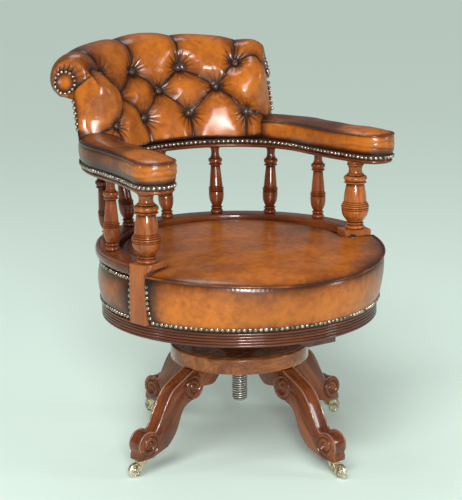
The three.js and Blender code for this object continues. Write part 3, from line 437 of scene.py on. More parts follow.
mahogany = mahogany_finish(
    "polished mahogany", (0.03, 0.006, 0.002), (0.108, 0.022, 0.0055), (0.285, 0.071, 0.014),
    (0.01, 0.004, 0.003))


def near(distance, width, power=2):
    """1 where distance is 0, and falling away over width."""
    return np.exp(-(distance / width) ** power)


def ramp(value, width=1.0):
    """0 up to 0, 1 from width on, and straight between."""
    return np.clip(value / width, 0, 1)


def through(points, steps):
    """A smooth curve through points."""
    points = np.array(points)
    padded = np.concatenate([points[:1], points, points[-1:]])
    curve = []
    for a, b, c, d in zip(padded[:-3], padded[1:-2], padded[2:-1], padded[3:]):
        for t in np.linspace(0, 1, steps, endpoint=False):
            curve.append(0.5 * (2 * b + (c - a) * t + (2 * a - 5 * b + 4 * c - d) * t ** 2
                                + (3 * b - a - 3 * c + d) * t ** 3))
    return np.array(curve + [points[-1]])


def arc(centre, radius, start_deg, end_deg, steps):
    return np.array(centre) + around(np.radians(np.linspace(start_deg, end_deg, steps)), radius)


def tube_shell(path, radius, sides=8):
    """A round bead along a path of points."""
    way = np.gradient(path, axis=0)
    way /= norm(way)[:, None]
    side = np.cross(way[0], [0, 1.0, 0.01])
    rings = []
    for point, tangent in zip(path, way):
        side = side - tangent * side.dot(tangent)
        side /= norm(side)
        rings.append(point + around(circle(sides), radius) @ [side, np.cross(tangent, side)])
    return np.concatenate(rings), grid_faces(len(rings), sides) + end_caps(len(rings), sides)


def roll_carving(centre, radius, start_deg, way, face):
    """A carved scroll on one face: a round band that winds in to an eye, with a cut beside it."""
    turns, eye, relief, rings, spokes = 1.6, 0.3, 0.0034, 40, 120
    share, angle = np.linspace(0, 1, rings)[:, None], circle(spokes)[None, :]
    phase = (share - eye) / (1 - eye) * turns + way * (angle - math.radians(start_deg)) / (2 * np.pi)
    band = phase - np.floor(phase)
    cut = near(np.minimum(band, 1 - band), 0.11) * (share > eye)
    dome = relief * (0.35 + 0.65 * np.sin(np.pi * band)) * ramp(1 - share, 0.05)
    height = np.where(share > eye, dome * (1 - 0.85 * cut), relief * (1.25 - 0.8 * (share / eye) ** 2))
    spots = centre + around(angle, radius * share)
    proud = np.concatenate([height - 0.0004, np.full_like(height, -0.003)]).reshape(-1)
    points = np.concatenate([spots, spots[::-1]]).reshape(-1, 2)
    points = np.insert(points, 1, face * (LEG_THICKNESS / 2 + proud), 1)
    # The cut beside the band is painted dark, as painted shade in it.
    dark = np.concatenate([cut * 0.9, np.zeros_like(cut)]).reshape(-1)
    return (points, grid_faces(2 * rings, spokes)), dark


def leg(corner, turn_deg):
    def spots(*shares):
        """Places by their share of the way between the rolls, and from the foot to the disc."""
        return [(UPPER_ROLL[0] + (LOWER_ROLL[0] - UPPER_ROLL[0]) * out,
                 FOOT_HEIGHT + (LEG_TOP - FOOT_HEIGHT) * up) for out, up in shares]

    upper = arc(UPPER_ROLL, UPPER_ROLL_RADIUS, 150, 275, 28)
    shin = through([upper[-1], *spots((0.228, 0.525), (0.371, 0.29), (0.468, 0.177), (0.597, 0.087))], 8)
    foot_in, foot_out = (CASTER_CIRCLE_RADIUS + sign * PLINTH_LENGTH / 2 for sign in (-1, 1))
    plinth = [(foot_in, FOOT_HEIGHT), (foot_out, FOOT_HEIGHT), (foot_out, FOOT_HEIGHT + PLINTH_HEIGHT)]
    lower = arc(LOWER_ROLL, LOWER_ROLL_RADIUS, -30, 124, 30)
    knee = through([lower[-1], *spots((0.798, 0.385), (0.597, 0.664), (0.468, 0.796), (0.331, 0.868)),
                    (UPPER_ROLL[0], LEG_TOP)], 10)
    outline = np.concatenate([upper, shin[1:], plinth, lower, knee[1:], [(UPPER_ROLL[0] - 0.012, LEG_TOP)]])
    tongue = np.concatenate([
        [(LEG_INNER_RADIUS, LEG_TOP)], through([
            (LEG_INNER_RADIUS + 0.001, LEG_TOP - 0.002), (0.0808, 0.1679), (0.1021, 0.1606), UPPER_ROLL], 8),
        [(UPPER_ROLL[0], LEG_TOP)]])
    shells = [board_shell(outline, LEG_THICKNESS, 0.0018), board_shell(tongue, TONGUE_THICKNESS, 0.0015)]
    darks = [np.zeros(len(points)) for points, _ in shells]
    upper_edge = np.concatenate([knee[::-1], arc(LOWER_ROLL, LOWER_ROLL_RADIUS, 124, -26, 40)[1:]])
    roll_edge = arc(UPPER_ROLL, UPPER_ROLL_RADIUS - 0.0006, 152, 275, 30)
    for face in (-1, 1):
        for roll in ((UPPER_ROLL, UPPER_ROLL_RADIUS - 0.001, 60, 1),
                     (LOWER_ROLL, LOWER_ROLL_RADIUS - 0.001, 120, -1)):
            shell, dark = roll_carving(*roll, face)
            shells.append(shell)
            darks.append(dark)
        # The beads are painted paler: a painted highlight along the edges, with wear on them.
        for line in (upper_edge - [0.0004, 0], roll_edge):
            shells.append(tube_shell(np.insert(line, 1, face * (LEG_THICKNESS / 2 - 0.0013), 1), 0.0019))
            darks.append(np.full(len(shells[-1][0]), -0.17))
    x, y, z = np.concatenate([points for points, _ in shells]).T
    grain = np.stack([
        x * math.cos(GRAIN_SLANT) + z * math.sin(GRAIN_SLANT),
        z * math.cos(GRAIN_SLANT) - x * math.sin(GRAIN_SLANT) + turn_deg * 0.01, y], -1)
    make_piece(f"scroll_leg_{corner}", [moved(shell, turn_deg) for shell in shells], mahogany, "base",
               [f"leg_{corner}"], grain, np.concatenate(darks), 45)


for corner, corner_deg in CORNERS.items():
    leg(corner, corner_deg + LEG_TURN_DEG)


# Base disc: a thick mahogany round, turned with a fine groove near the edge of its top and
# jointed from two boards, whose glue line shows on the edge. Its mahogany is a lighter copy of
# the legs', painted light for the sheen on its edge.
DISC_RADIUS, DISC_BORE, DISC_EDGE = disc_high.x - swivel[0], 0.0258, 0.004
DISC_GROOVE, DISC_JOINT = DISC_RADIUS - 0.0075, 0.098
lit_disc_mahogany = mahogany_finish(
    "lit disc mahogany", (0.05, 0.012, 0.004), (0.21, 0.05, 0.012), (0.5, 0.15, 0.032), (0.01, 0.004, 0.003))
bottom, top = disc_low.z, disc_high.z
points, faces = turned_shell(np.concatenate([
    [(DISC_BORE, bottom), (DISC_RADIUS - DISC_EDGE, bottom)],
    arc((DISC_RADIUS - DISC_EDGE, bottom + DISC_EDGE), DISC_EDGE, -90, 0, 7)[1:],
    arc((DISC_RADIUS - DISC_EDGE, top - DISC_EDGE), DISC_EDGE, 0, 90, 7),
    [(DISC_GROOVE + 0.0012, top), (DISC_GROOVE + 0.0004, top - 0.0014), (DISC_GROOVE - 0.0004, top - 0.0014),
     (DISC_GROOVE - 0.0012, top), (DISC_GROOVE - 0.02, top), (DISC_BORE, top)]]), 160, True)
# The groove is painted pale as a painted highlight, and the joint as a pale glue line.
in_groove = near(norm(points[:, :2]) - DISC_GROOVE, 0.0009) * (np.abs(points[:, 2] - (top - 0.0007)) < 0.0009)
in_joint = near(points[:, 0] - DISC_JOINT, 0.0011) * (points[:, 2] > bottom + 0.002)
make_piece("turned_disc", [(points, faces)], lit_disc_mahogany, "base", ["base_disc"], points,
           -0.04 - 0.36 * ramp(in_groove + in_joint))


# Height screw: a turned steel screw with a coarse square-shouldered thread and a rounded end.
# It hangs under the disc, and its nut, its bush and the cross that it carries are black iron.
SCREW_RADIUS, THREAD_PITCH, THREAD_DEPTH, SCREW_SIDES = 0.0168, 0.0052, 0.0019, 48


def iron_finish(name, bright, rust, polish):
    iron = Finish(name)
    place = iron.place()
    patches = iron.step(iron.noise(place, 90.0, 5.0, 0.65), 0.45, 0.7)
    colour = iron.mix(0.85 * iron.attribute("dark"), iron.mix(patches, bright, rust), (0.015, 0.012, 0.01))
    return iron.surface(
        Base_Color=colour, Metallic=1.0 - 0.55 * patches, Roughness=polish + 0.25 * patches,
        Normal=iron.bump(iron.noise(place, 900.0, 3.0), 0.25, 0.0004))


screw_steel = iron_finish("greasy steel", (0.62, 0.59, 0.56), (0.34, 0.3, 0.27), 0.3)
black_iron = iron_finish("black iron", (0.09, 0.085, 0.08), (0.07, 0.04, 0.03), 0.5)
low, high = (corner.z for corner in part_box("height_screw"))
heights, angles = np.arange(low + 0.004, high, THREAD_PITCH / 12)[:, None], circle(SCREW_SIDES)
phase = heights / THREAD_PITCH - angles / (2 * np.pi)
depth = THREAD_DEPTH * ramp(np.abs((phase - np.floor(phase)) * 2 - 1) - 0.32, 0.36)
radius = (SCREW_RADIUS - depth) * (0.82 + 0.18 * np.sqrt(ramp(heights - low - 0.004, 0.006)))
rows = np.concatenate([[lifted(around(angles, r), z) for r, z in (
    (0.0001, low), (0.006, low + 0.0003), (0.0105, low + 0.0014), (0.0128, low + 0.0028))],
    lifted(around(angles, radius), heights)])
# The thread's grooves are painted dark, as painted shade in them.
make_piece("threaded_screw", [(rows, grid_faces(len(rows), SCREW_SIDES) + end_caps(len(rows), SCREW_SIDES))],
           screw_steel, "seat", ["height_screw"],
           dark=np.concatenate([np.zeros((4, SCREW_SIDES)), depth / THREAD_DEPTH]), sharp_deg=50)


def softened(name, node, width, finish, body, grain_turn_deg=None, upright=False):
    """A copy of a plain piece of the frame with its edges eased."""
    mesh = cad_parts[node].data.copy()
    mesh.materials.clear()
    mesh.materials.append(finish)
    work = bmesh.new()
    work.from_mesh(mesh)
    bmesh.ops.remove_doubles(work, verts=work.verts, dist=2e-5)
    bmesh.ops.dissolve_limit(work, angle_limit=math.radians(1), verts=work.verts, edges=work.edges)
    sharp = [e for e in work.edges if len(e.link_faces) == 2 and e.calc_face_angle(0) > math.radians(30)]
    bmesh.ops.bevel(
        work, geom=sharp, offset=width, segments=3, profile=0.5, affect="EDGES", clamp_overlap=True)
    bmesh.ops.triangulate(work, faces=work.faces)
    work.to_mesh(mesh)
    work.free()
    mesh.shade_smooth()
    mesh.set_sharp_from_angle(angle=math.radians(40))
    if grain_turn_deg is not None:
        x, y, z = (np.array([v.co for v in mesh.vertices], float) - swivel).T
        cos, sin = math.cos(math.radians(grain_turn_deg)), math.sin(math.radians(grain_turn_deg))
        along, across = x * cos + y * sin, y * cos - x * sin
        add_field(mesh, "grain", np.stack([z, along, across] if upright else [along, across, z], -1))
    return hand_over(name, mesh, body, [node])


softened("iron_bush", "screw_bush", 0.0006, black_iron, "base")
softened("iron_nut", "height_nut", 0.0012, black_iron, "nut")
softened("iron_cross", "seat_iron", 0.0008, black_iron, "seat")


# Bearers: two hardwood boards, halved over each other and stained dark, that carry the seat on
# the iron. Their ends are let into the underside of the rim.
stained_wood = mahogany_finish(
    "stained hardwood", (0.02, 0.008, 0.005), (0.085, 0.03, 0.014), (0.13, 0.05, 0.024), (0.01, 0.006, 0.005))
softened("cross_bearer", "bearer_cross", 0.001, stained_wood, "seat", 0)
softened("long_bearer", "bearer_long", 0.001, stained_wood, "seat", 90)


# Reeded rim: a mahogany ring built up of segments and turned with five reeds round its edge.
# It carries the drum wall, and it is darker than the rest from years of hands and feet.
dark_mahogany = mahogany_finish(
    "dark mahogany", (0.02, 0.006, 0.004), (0.085, 0.02, 0.008), (0.17, 0.045, 0.016), (0.008, 0.004, 0.003))
REEDS, REED_STEPS, RIM_SIDES, RIM_WIDTH = 5, 9, 200, 0.042


def ring_grain(points):
    """Grain that runs round the swivel's line."""
    x, y, z = points.reshape(-1, 3).T
    return np.stack([np.arctan2(y, x) * 0.3, np.hypot(x, y), z], -1)


low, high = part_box("reeded_rim")
outer, reed = high.x - swivel[0], (high.z - low.z) / REEDS
shell = turned_shell(np.concatenate([[(outer - RIM_WIDTH, low.z)]] + [
    arc((outer - reed * 0.5, low.z + reed * (i + 0.5)), reed * 0.5, -72, 72, REED_STEPS) for i in range(REEDS)
] + [[(outer - RIM_WIDTH, high.z)]]), RIM_SIDES, True)
# The edges of each reed, where they meet, are painted darker as painted shade.
depth = np.concatenate([[0], np.tile(np.abs(np.linspace(-1, 1, REED_STEPS)) ** 5, REEDS), [0]])
make_piece("reeded_ring", [shell], dark_mahogany, "seat", ["reeded_rim"],
           ring_grain(shell[0]), np.tile(depth, RIM_SIDES), 60)


# Webbing: jute bands strained across the foot of the drum in a basket weave, and tacked down.
# They carry the springs, and show only from under the seat.
DRUM_BOTTOM, DRUM_TOP = (corner.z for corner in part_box("seat_drum"))
WEB_WIDTH, WEB_PITCH, WEB_THICKNESS, WEB_STEPS = 0.050, 0.0545, 0.0011, 91


def jute_finish():
    jute = Finish("jute webbing")
    lie = jute.attribute("grain", "Vector")
    weft, warp = (jute.add("TexWave", {"bands_direction": way}, {
        "Vector": lie, "Scale": scale, "Distortion": 0.6}) for way, scale in (("X", 190.0), ("Y", 150.0)))
    across = jute.maths("ABSOLUTE", jute.add("SeparateXYZ", {}, {0: lie}, "Y"), 0.0)
    stripe = jute.step(across, 0.0155, 0.0165) * (1 - jute.step(across, 0.0195, 0.0205))
    colour = jute.mix(weft, (0.2, 0.13, 0.065), (0.36, 0.26, 0.14))
    return jute.surface(Base_Color=jute.mix(0.8 * stripe, colour, (0.1, 0.03, 0.02)), Roughness=0.9,
                        Normal=jute.bump(weft * warp, 0.6, 0.0006))


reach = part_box("seat_webbing")[1].x - swivel[0] - 0.0004
across = np.linspace(-WEB_WIDTH / 2, WEB_WIDTH / 2, 7)
shells, lies = [], []
for way in (0, 1):
    for strap in range(-4, 5):
        offset = strap * WEB_PITCH + across
        along = np.linspace(-1, 1, WEB_STEPS)[:, None] * np.sqrt(reach ** 2 - offset ** 2)[None, :]
        wave = 0.0008 * np.cos(np.pi * along / WEB_PITCH) * (-1) ** (strap + way)
        band = np.concatenate([np.stack([
            along, offset + 0 * along, DRUM_BOTTOM + 0.0017 + wave + side * WEB_THICKNESS / 2], -1)[:, ::side]
            for side in (1, -1)], 1).reshape(-1, 3)
        lies.append(band - [0, strap * WEB_PITCH, 0])
        shells.append((band[:, [1, 0, 2]] if way else band,
                       grid_faces(WEB_STEPS, 14) + end_caps(WEB_STEPS, 14)))
make_piece("woven_webbing", shells, jute_finish(), "seat", ["seat_webbing"], np.concatenate(lies))


# Drum wall and back board: bare beech, bent and glued up, which the leather is tacked to. They
# show only where the covers stop.
def beech_finish():
    beech = Finish("bare beech")
    place = beech.scaled(beech.place(), 8.0, 8.0, 60.0)
    figure = beech.step(beech.noise(place, 2.0, 4.0, 0.6, 0.5), 0.3, 0.7)
    flecks = beech.step(beech.noise(place, 14.0, 2.0), 0.6, 0.7)
    colour = beech.mix(figure, (0.3, 0.16, 0.07), (0.46, 0.28, 0.14))
    return beech.surface(Base_Color=beech.mix(0.5 * flecks, colour, (0.2, 0.1, 0.045)),
                         Roughness=0.6 + 0.1 * figure, Normal=beech.bump(flecks, 0.2, 0.0003))


bare_beech = beech_finish()
for node in ("seat_drum", "back_frame"):
    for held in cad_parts[node].material_slots:
        held.material = bare_beech


# Post blocks: square mahogany blocks lapped over the drum, which end the leather and the hoop.
# Each carries a front post. They are paler than the rest, with the grain upright.
BLOCK_ANGLE_DEG, BLOCK_HALF = 102.5, 0.0235
pale_mahogany = mahogany_finish(
    "pale mahogany", (0.11, 0.024, 0.007), (0.3, 0.075, 0.016), (0.44, 0.135, 0.028),
    (0.02, 0.007, 0.004), 0.4)
for side, sign in (("left", 1), ("right", -1)):
    softened(f"block_{side}", f"post_block_{side}", 0.0013, pale_mahogany, "seat",
             90 + sign * BLOCK_ANGLE_DEG, True)


# Drum cover: a padded band of hide round the back of the drum, from block to block. It is
# dyed by hand, amber in the middle, and painted nearly black at its nailed edges, partly for the
# dye and partly as painted shade where it turns in to the nails.
def hide_finish(name, amber, chestnut, umber, polish=0.34):
    hide = Finish(name)
    place, dark = hide.place(), hide.attribute("dark")
    cloud, stipple = hide.noise(place, 15.0, 3.0, 0.55, 0.5), hide.noise(place, 70.0, 5.0, 0.62, 0.2)
    pore = hide.add("TexVoronoi", {"feature": "DISTANCE_TO_EDGE"}, {"Vector": place, "Scale": 620.0})
    grain = hide.step(pore, 0.0, 0.12)
    # The dark field carries both the dye and painted shade: as it rises the amber turns to a dark chestnut
    # and then to umber.
    dye_and_shade = dark * (0.7 + 0.6 * stipple)
    colour = hide.mix(0.75 * hide.step(0.5 * cloud + 0.5 * stipple, 0.4, 0.66), amber, chestnut)
    colour = hide.mix(hide.step(dye_and_shade, 0.0, 0.62), colour, [c * 0.42 for c in chestnut])
    colour = hide.mix(hide.step(dye_and_shade, 0.45, 1.0), colour, umber)
    return hide.surface(
        Base_Color=colour, Roughness=polish + 0.12 * stipple + 0.08 * (1 - grain),
        Coat_Weight=0.44 + 0.28 * stipple, Coat_Roughness=0.19, Specular_IOR_Level=0.15,
        Normal=hide.bump(0.6 * grain + 0.8 * stipple, 0.16, 0.0004))


tan_hide = hide_finish("hand dyed hide", (0.535, 0.15, 0.011), (0.25, 0.058, 0.008), (0.014, 0.005, 0.003))
edge_hide = hide_finish("blackened hide", (0.05, 0.02, 0.01), (0.03, 0.012, 0.008), (0.008, 0.005, 0.004))
nail_brass = brass_finish("antique nail brass", (0.56, 0.46, 0.37), (0.07, 0.045, 0.032))


def swell(points, seed, reach, amount):
    """Slow hills and hollows of a hand stuffed surface, as one height for each point."""
    dice = np.random.default_rng(seed)
    total = 0
    for _ in range(9):
        way = dice.normal(size=3)
        way *= 2 * math.pi / (norm(way) * reach * dice.uniform(0.6, 1.7))
        total = total + np.sin(points @ way + dice.uniform(0, 6.28))
    return amount * total / 3


def nails_tree():
    """Domed heads set at even spaces along a line."""
    tree = bpy.data.node_groups.new("nails along a line", "GeometryNodeTree")

    def node(kind, settings=None, sockets=None):
        made = tree.nodes.new(kind)
        for key, value in (settings or {}).items():
            setattr(made, key, value)
        for key, value in (sockets or {}).items():
            if isinstance(value, bpy.types.NodeSocket):
                tree.links.new(value, made.inputs[key])
            else:
                made.inputs[key].default_value = value
        return made.outputs

    for label, kind, value in (
            ("Geometry", "Geometry", None), ("Spacing", "Float", 0.0108), ("Head radius", "Float", 0.0046),
            ("Dome", "Float", 0.75), ("Tilt", "Float", 0.08), ("Seed", "Int", 7),
            ("Finish", "Material", None)):
        socket = tree.interface.new_socket(label, in_out="INPUT", socket_type="NodeSocket" + kind)
        if value is not None:
            socket.default_value = value
    tree.interface.new_socket("Geometry", in_out="OUTPUT", socket_type="NodeSocketGeometry")
    given = node("NodeGroupInput")
    line = node("GeometryNodeMeshToCurve", {}, {0: given["Geometry"]})[0]
    spots = node("GeometryNodeResampleCurve", {"mode": "LENGTH"}, {"Curve": line, "Length": given["Spacing"]})
    outward = node("GeometryNodeInputNamedAttribute", {"data_type": "FLOAT_VECTOR"}, {"Name": "outward"})
    upright = node("FunctionNodeAlignRotationToVector", {"axis": "Z"}, {"Vector": outward[0]})
    chance = node("FunctionNodeRandomValue", {"data_type": "FLOAT_VECTOR"}, {
        0: (-1.0, -1.0, -1.0), 1: (1.0, 1.0, 1.0), "Seed": given["Seed"]})
    lean = node("ShaderNodeVectorMath", {"operation": "SCALE"}, {0: chance[0], "Scale": given["Tilt"]})
    turned = node("FunctionNodeRotateRotation", {"rotation_space": "LOCAL"}, {0: upright[0], 1: lean[0]})
    ball = node("GeometryNodeMeshUVSphere", {}, {"Segments": 12, "Rings": 8, "Radius": given["Head radius"]})
    squat = node("ShaderNodeCombineXYZ", {}, {"X": 1.0, "Y": 1.0, "Z": given["Dome"]})
    head = node("GeometryNodeTransform", {}, {"Geometry": ball[0], "Scale": squat[0]})
    head = node("GeometryNodeSetShadeSmooth", {}, {"Geometry": head[0]})
    heads = node("GeometryNodeInstanceOnPoints", {}, {
        "Points": spots[0], "Instance": head[0], "Rotation": turned[0]})
    solid = node("GeometryNodeRealizeInstances", {}, {"Geometry": heads[0]})
    done = node("GeometryNodeSetMaterial", {}, {"Geometry": solid[0], "Material": given["Finish"]})
    node("NodeGroupOutput", {}, {"Geometry": done[0]})
    return tree


nail_rows = nails_tree()


def set_nails(name, runs, **inputs):
    """Nails along runs of (points, outward ways), measured from the swivel's line."""
    edges, first = [], 0
    for line, _ in runs:
        edges += [(first + i, first + i + 1) for i in range(len(line) - 1)]
        first += len(line)
    mesh = bpy.data.meshes.new(name)
    mesh.from_pydata((np.concatenate([line for line, _ in runs]) + swivel).tolist(), edges, [])
    add_field(mesh, "outward", np.concatenate([ways for _, ways in runs]))
    holder = add_object(name + "_line", mesh)
    modifier = holder.modifiers.new("heads", "NODES")
    modifier.node_group = nail_rows
    values = {"Finish": nail_brass, **{key.replace("_", " "): value for key, value in inputs.items()}}
    for socket in nail_rows.interface.items_tree:
        if socket.in_out == "INPUT" and socket.name in values:
            modifier[socket.identifier] = values[socket.name]
    made = bpy.data.meshes.new_from_object(holder.evaluated_get(bpy.context.evaluated_depsgraph_get()))
    bpy.data.objects.remove(holder)
    hand_over(name, made, "seat")


def round_the_back(radius, height, shares):
    """Points round the seat from the right block to the left one, clear of both."""
    limit = np.radians(BLOCK_ANGLE_DEG) - np.arcsin((BLOCK_HALF + 0.0004) / radius)
    return lifted(around(np.pi / 2 + limit * shares, radius), height)


def block_ways(sign):
    """The level way out through a block, and the way across it to the front."""
    out = around(math.radians(90 + BLOCK_ANGLE_DEG)) * [sign, 1]
    return out, np.array([-out[1], out[0]]) * sign


COVER_COLUMNS, COVER_ROWS, END_ROW = 241, 33, 12
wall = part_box("seat_drum")[1].x - swivel[0] + 0.0004
low, high = DRUM_BOTTOM + 0.0002, DRUM_TOP - 0.0004
shares, up = np.linspace(-1, 1, COVER_COLUMNS), np.linspace(0, 1, COVER_ROWS)[:, None]
to_end = (1 - np.abs(shares)) * 0.53
rise = np.sin(np.pi * up)
radius = wall + 0.0035 + (0.0025 + 0.0088 * rise) * np.minimum(1, rise * 4) ** 0.5 * (
    0.35 + 0.65 * ramp(to_end, 0.02) ** 0.6)
outer = round_the_back(radius, low + (high - low) * up, shares)
outward = outer * [1, 1, 0] / norm(outer[..., :2])[..., None]
outer = outer + outward * (swell(outer, 3, 0.09, 0.0006) * rise)[..., None]
inner = [round_the_back(wall, z, shares) for z in (high, low)]
faces = grid_faces(COVER_ROWS + 2, COVER_COLUMNS, False, True)
faces += [tuple(i * COVER_COLUMNS + end for i in range(COVER_ROWS + 2)) for end in (0, COVER_COLUMNS - 1)]
# Darker towards the edges: the dye, and painted shade where the padding turns in to the nails and against the
# blocks.
edge = np.minimum(np.minimum(up, 1 - up) * (high - low), to_end * 0.55)
dark = np.concatenate([0.3 + 0.7 * near(edge, 0.019, 1.6), np.ones((2, COVER_COLUMNS))])
piece = make_piece("drum_cover", [(np.concatenate([outer, inner]), faces)], tan_hide, "seat",
                   ["drum_leather"], dark=dark, sharp_deg=60)

runs, kept = [], np.abs(shares) < 0.985
for edge_row, row, sign in ((0, 2, 1), (-1, COVER_ROWS - 3, -1)):
    line = lifted(outer[row, :, :2], outer[edge_row, :, 2] + sign * 0.0068) + outward[row] * 0.0012
    runs.append((line[kept], outward[row][kept] + [0, 0, -0.25 * sign]))
heights = np.linspace(low + 0.0176, high - 0.0176, END_ROW)
reach = wall + 0.0062 + 0.0042 * np.sin(np.pi * (heights - low) / (high - low))
for sign in (-1, 1):
    away, ahead = block_ways(sign)
    line = lifted(away * reach[:, None] - ahead * (BLOCK_HALF + 0.0064), heights)
    runs.append((line, np.tile([*away, 0], (END_ROW, 1))))
set_nails("drum_nails", runs)


# Hoop rail: steam-bent mahogany round the back of the seat, housed in the blocks, with a rounded
# outer edge and a bead scratched along both edges of its top. The spindles stand in it.
HOOP_BOTTOM, HOOP_TOP = (corner.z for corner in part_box("hoop_rail"))
HOOP_OUTER, HOOP_INNER, HOOP_COLUMNS = 0.310, 0.258, 221
out, low, high = HOOP_OUTER, HOOP_BOTTOM, HOOP_TOP
profile = rounded([
    (HOOP_INNER, low + 0.0002), (out - 0.008, low + 0.0002), (out - 0.0015, low + 0.006), (out, low + 0.013),
    (out - 0.0004, high - 0.007), (out - 0.0022, high - 0.0052), (out - 0.0016, high - 0.003),
    (out - 0.0046, high - 0.0004), (out - 0.0078, high - 0.0006), (out - 0.009, high - 0.0018),
    (out - 0.0102, high), (HOOP_INNER + 0.0072, high), (HOOP_INNER + 0.0064, high - 0.0013),
    (HOOP_INNER + 0.0056, high - 0.0002), (HOOP_INNER + 0.0012, high - 0.0008), (HOOP_INNER, high - 0.004)],
    0.0016)
rings = np.stack([round_the_back(r, z, np.linspace(-1, 1, HOOP_COLUMNS)) for r, z in profile], 1)
# The quirks of the scratched beads are painted darker, as painted shade.
to_bead = np.minimum(np.abs(profile[:, 0] - (out - 0.009)), np.abs(profile[:, 0] - (HOOP_INNER + 0.0064)))
to_bead = to_bead + 2 * np.maximum(0, high - 0.003 - profile[:, 1])
faces = grid_faces(HOOP_COLUMNS, len(profile)) + end_caps(HOOP_COLUMNS, len(profile))
make_piece("bent_hoop", [(rings, faces)], mahogany, "seat", ["hoop_rail"], ring_grain(rings),
           np.tile(near(to_bead, 0.0011) * 0.7, HOOP_COLUMNS), 50)


# Seat: a sprung and hair-stuffed pad that fills the hoop and runs out over the front of the drum.
# One hide covers its top, and a second is piped to it and drawn down to nails on the rim.
PIPING_RADIUS, BLOCK_GAP, BLOCK_INNER, CORE_RADIUS, WELL_RADIUS = 0.3135, 0.0012, 0.246, 0.2907, 0.2712
EDGE_STEPS = 620
SEAT_CENTRE = np.array([0.0, -0.040])


def measured(line):
    """How far each point is along a line."""
    return np.concatenate([[0], np.cumsum(norm(np.diff(line, axis=0)))])


def evened(line, count, endpoint=True):
    """Points at even spaces along a flat line, and how far along it each is."""
    length = measured(line)
    even = np.linspace(0, length[-1], count, endpoint=endpoint)
    return np.stack([np.interp(even, length, line[:, i]) for i in (0, 1)], -1), even


def seat_edge():
    """The seat's edge in plan, from the middle of the front by the left to the back, mirrored."""
    away, ahead = block_ways(1)
    half, inner = BLOCK_HALF + BLOCK_GAP, BLOCK_INNER - BLOCK_GAP
    shoulder = away * math.sqrt(PIPING_RADIUS ** 2 - half ** 2) + ahead * half
    front_end = math.degrees(math.atan2(shoulder[1], shoulder[0])) % 360 - 360
    notch = away * (inner + 0.004) - ahead * (half + 0.004)
    back_start = math.degrees(math.atan2(notch[1], notch[0])) % 360 - 0.6
    front = arc((0, 0), PIPING_RADIUS, -90, front_end, 120)
    back = arc((0, 0), HOOP_INNER - 0.0006, back_start, 90, 90)
    corners = rounded([front[-2], shoulder, away * inner + ahead * half,
                       away * inner - ahead * half, back[1]],
                      0.005, 5, False)
    half_line = np.concatenate([front[:-2], corners, back[2:]])
    line = np.concatenate([half_line, (half_line * [-1, 1])[::-1][1:-1]])
    return evened(np.concatenate([line, line[:1]]), EDGE_STEPS, False)[0]


def seat_height(plan):
    """The top of the seat, which falls to its front edge, before the edges are drawn in."""
    radius = norm(plan)
    front = np.clip(-plan[..., 1] / np.maximum(radius, 1e-4), 0, 1)
    crown = 0.4505 + 0.0115 * (1 - np.minimum(radius, HOOP_INNER) ** 2 / HOOP_INNER ** 2)
    past = np.maximum(0, radius - HOOP_INNER)
    flat = 0.9 - 0.35 * ramp(-plan[..., 0], 0.3)
    fall = (0.09 * past + 3.3 * past ** 2) * (1 - flat * (1 - front ** 2.2))
    return crown + 0.0035 * (1 - front) * np.minimum(1, radius / HOOP_INNER) ** 4 - fall


edge = seat_edge()
radius = norm(edge)
in_front = (radius > CORE_RADIUS)[:, None]
level_way = edge / radius[:, None]
spread = 1 - (1 - np.linspace(0.015, 1, 44)) ** 1.35
plan = SEAT_CENTRE + (edge - SEAT_CENTRE)[None] * spread[:, None, None]
gap = norm(plan[:, :, None, :] - edge[None, None, ::3, :]).min(-1)
drawn = (0.0035 + 0.0035 * ramp(0.262 - radius, 0.004)) * near(gap, 0.007, 1.3)
top = lifted(plan, seat_height(plan) - drawn)
calm = ramp(gap, 0.05)
top[..., 2] += swell(top, 5, 0.16, 0.0011) * calm + swell(top, 6, 0.05, 0.00028) * calm
for sign in (1, -1):
    away = plan - (around(math.radians(90 + BLOCK_ANGLE_DEG)) * BLOCK_INNER + [0.0045, -0.0205]) * [sign, 1]
    creases = np.cos(np.arctan2(away[..., 1], sign * away[..., 0]) * 9) * near(norm(away) - 0.03, 0.024)
    top[..., 2] += 0.0011 * creases * calm

shares = np.array([0.0, 0.03, 0.08, 0.15, 0.23, 0.32, 0.41, 0.5, 0.59, 0.68, 0.77, 0.85, 0.92, 0.97, 1.0])
profile = through([(0.31, 0.431), (0.3128, 0.422), (0.3128, 0.4), (0.3088, 0.3716), (0.3026, 0.3492),
                   (0.2985, DRUM_BOTTOM + 0.0004)], 14)
lift = np.clip(top[-1][:, 2] - 0.4334, 0, 0.016)
skirt = []
for share in shares:
    out, z = (np.interp(share, np.linspace(0, 1, len(profile)), profile[:, i]) for i in (0, 1))
    row = lifted(edge * np.minimum(1, out / radius)[:, None], z + lift * (1 - share) ** 1.3)
    row[:, :2] *= (1 + swell(row, 8, 0.12, 0.0008) * math.sin(math.pi * share) / radius)[:, None]
    rest = lifted(edge, np.minimum(top[-1][:, 2], 0.4368 + 0.006 * max(0, 1 - 8 * share)))
    skirt.append(np.where(in_front, row, rest))
inside = [np.where(in_front, lifted(level_way * CORE_RADIUS, z), lifted(edge, 0.4366))
          for z in (DRUM_BOTTOM + 0.0004, DRUM_TOP + 0.0005)]
inside.append(np.where(in_front, lifted(level_way * WELL_RADIUS, DRUM_TOP + 0.0005),
                       lifted(edge, DRUM_TOP - 0.0003)))
inside += [lifted(level_way * out, z) for out, z in (
    (WELL_RADIUS, DRUM_TOP - 0.0003), (WELL_RADIUS, DRUM_BOTTOM + 0.004), (0.02, DRUM_BOTTOM + 0.004))]
points = np.concatenate([top, skirt, inside])

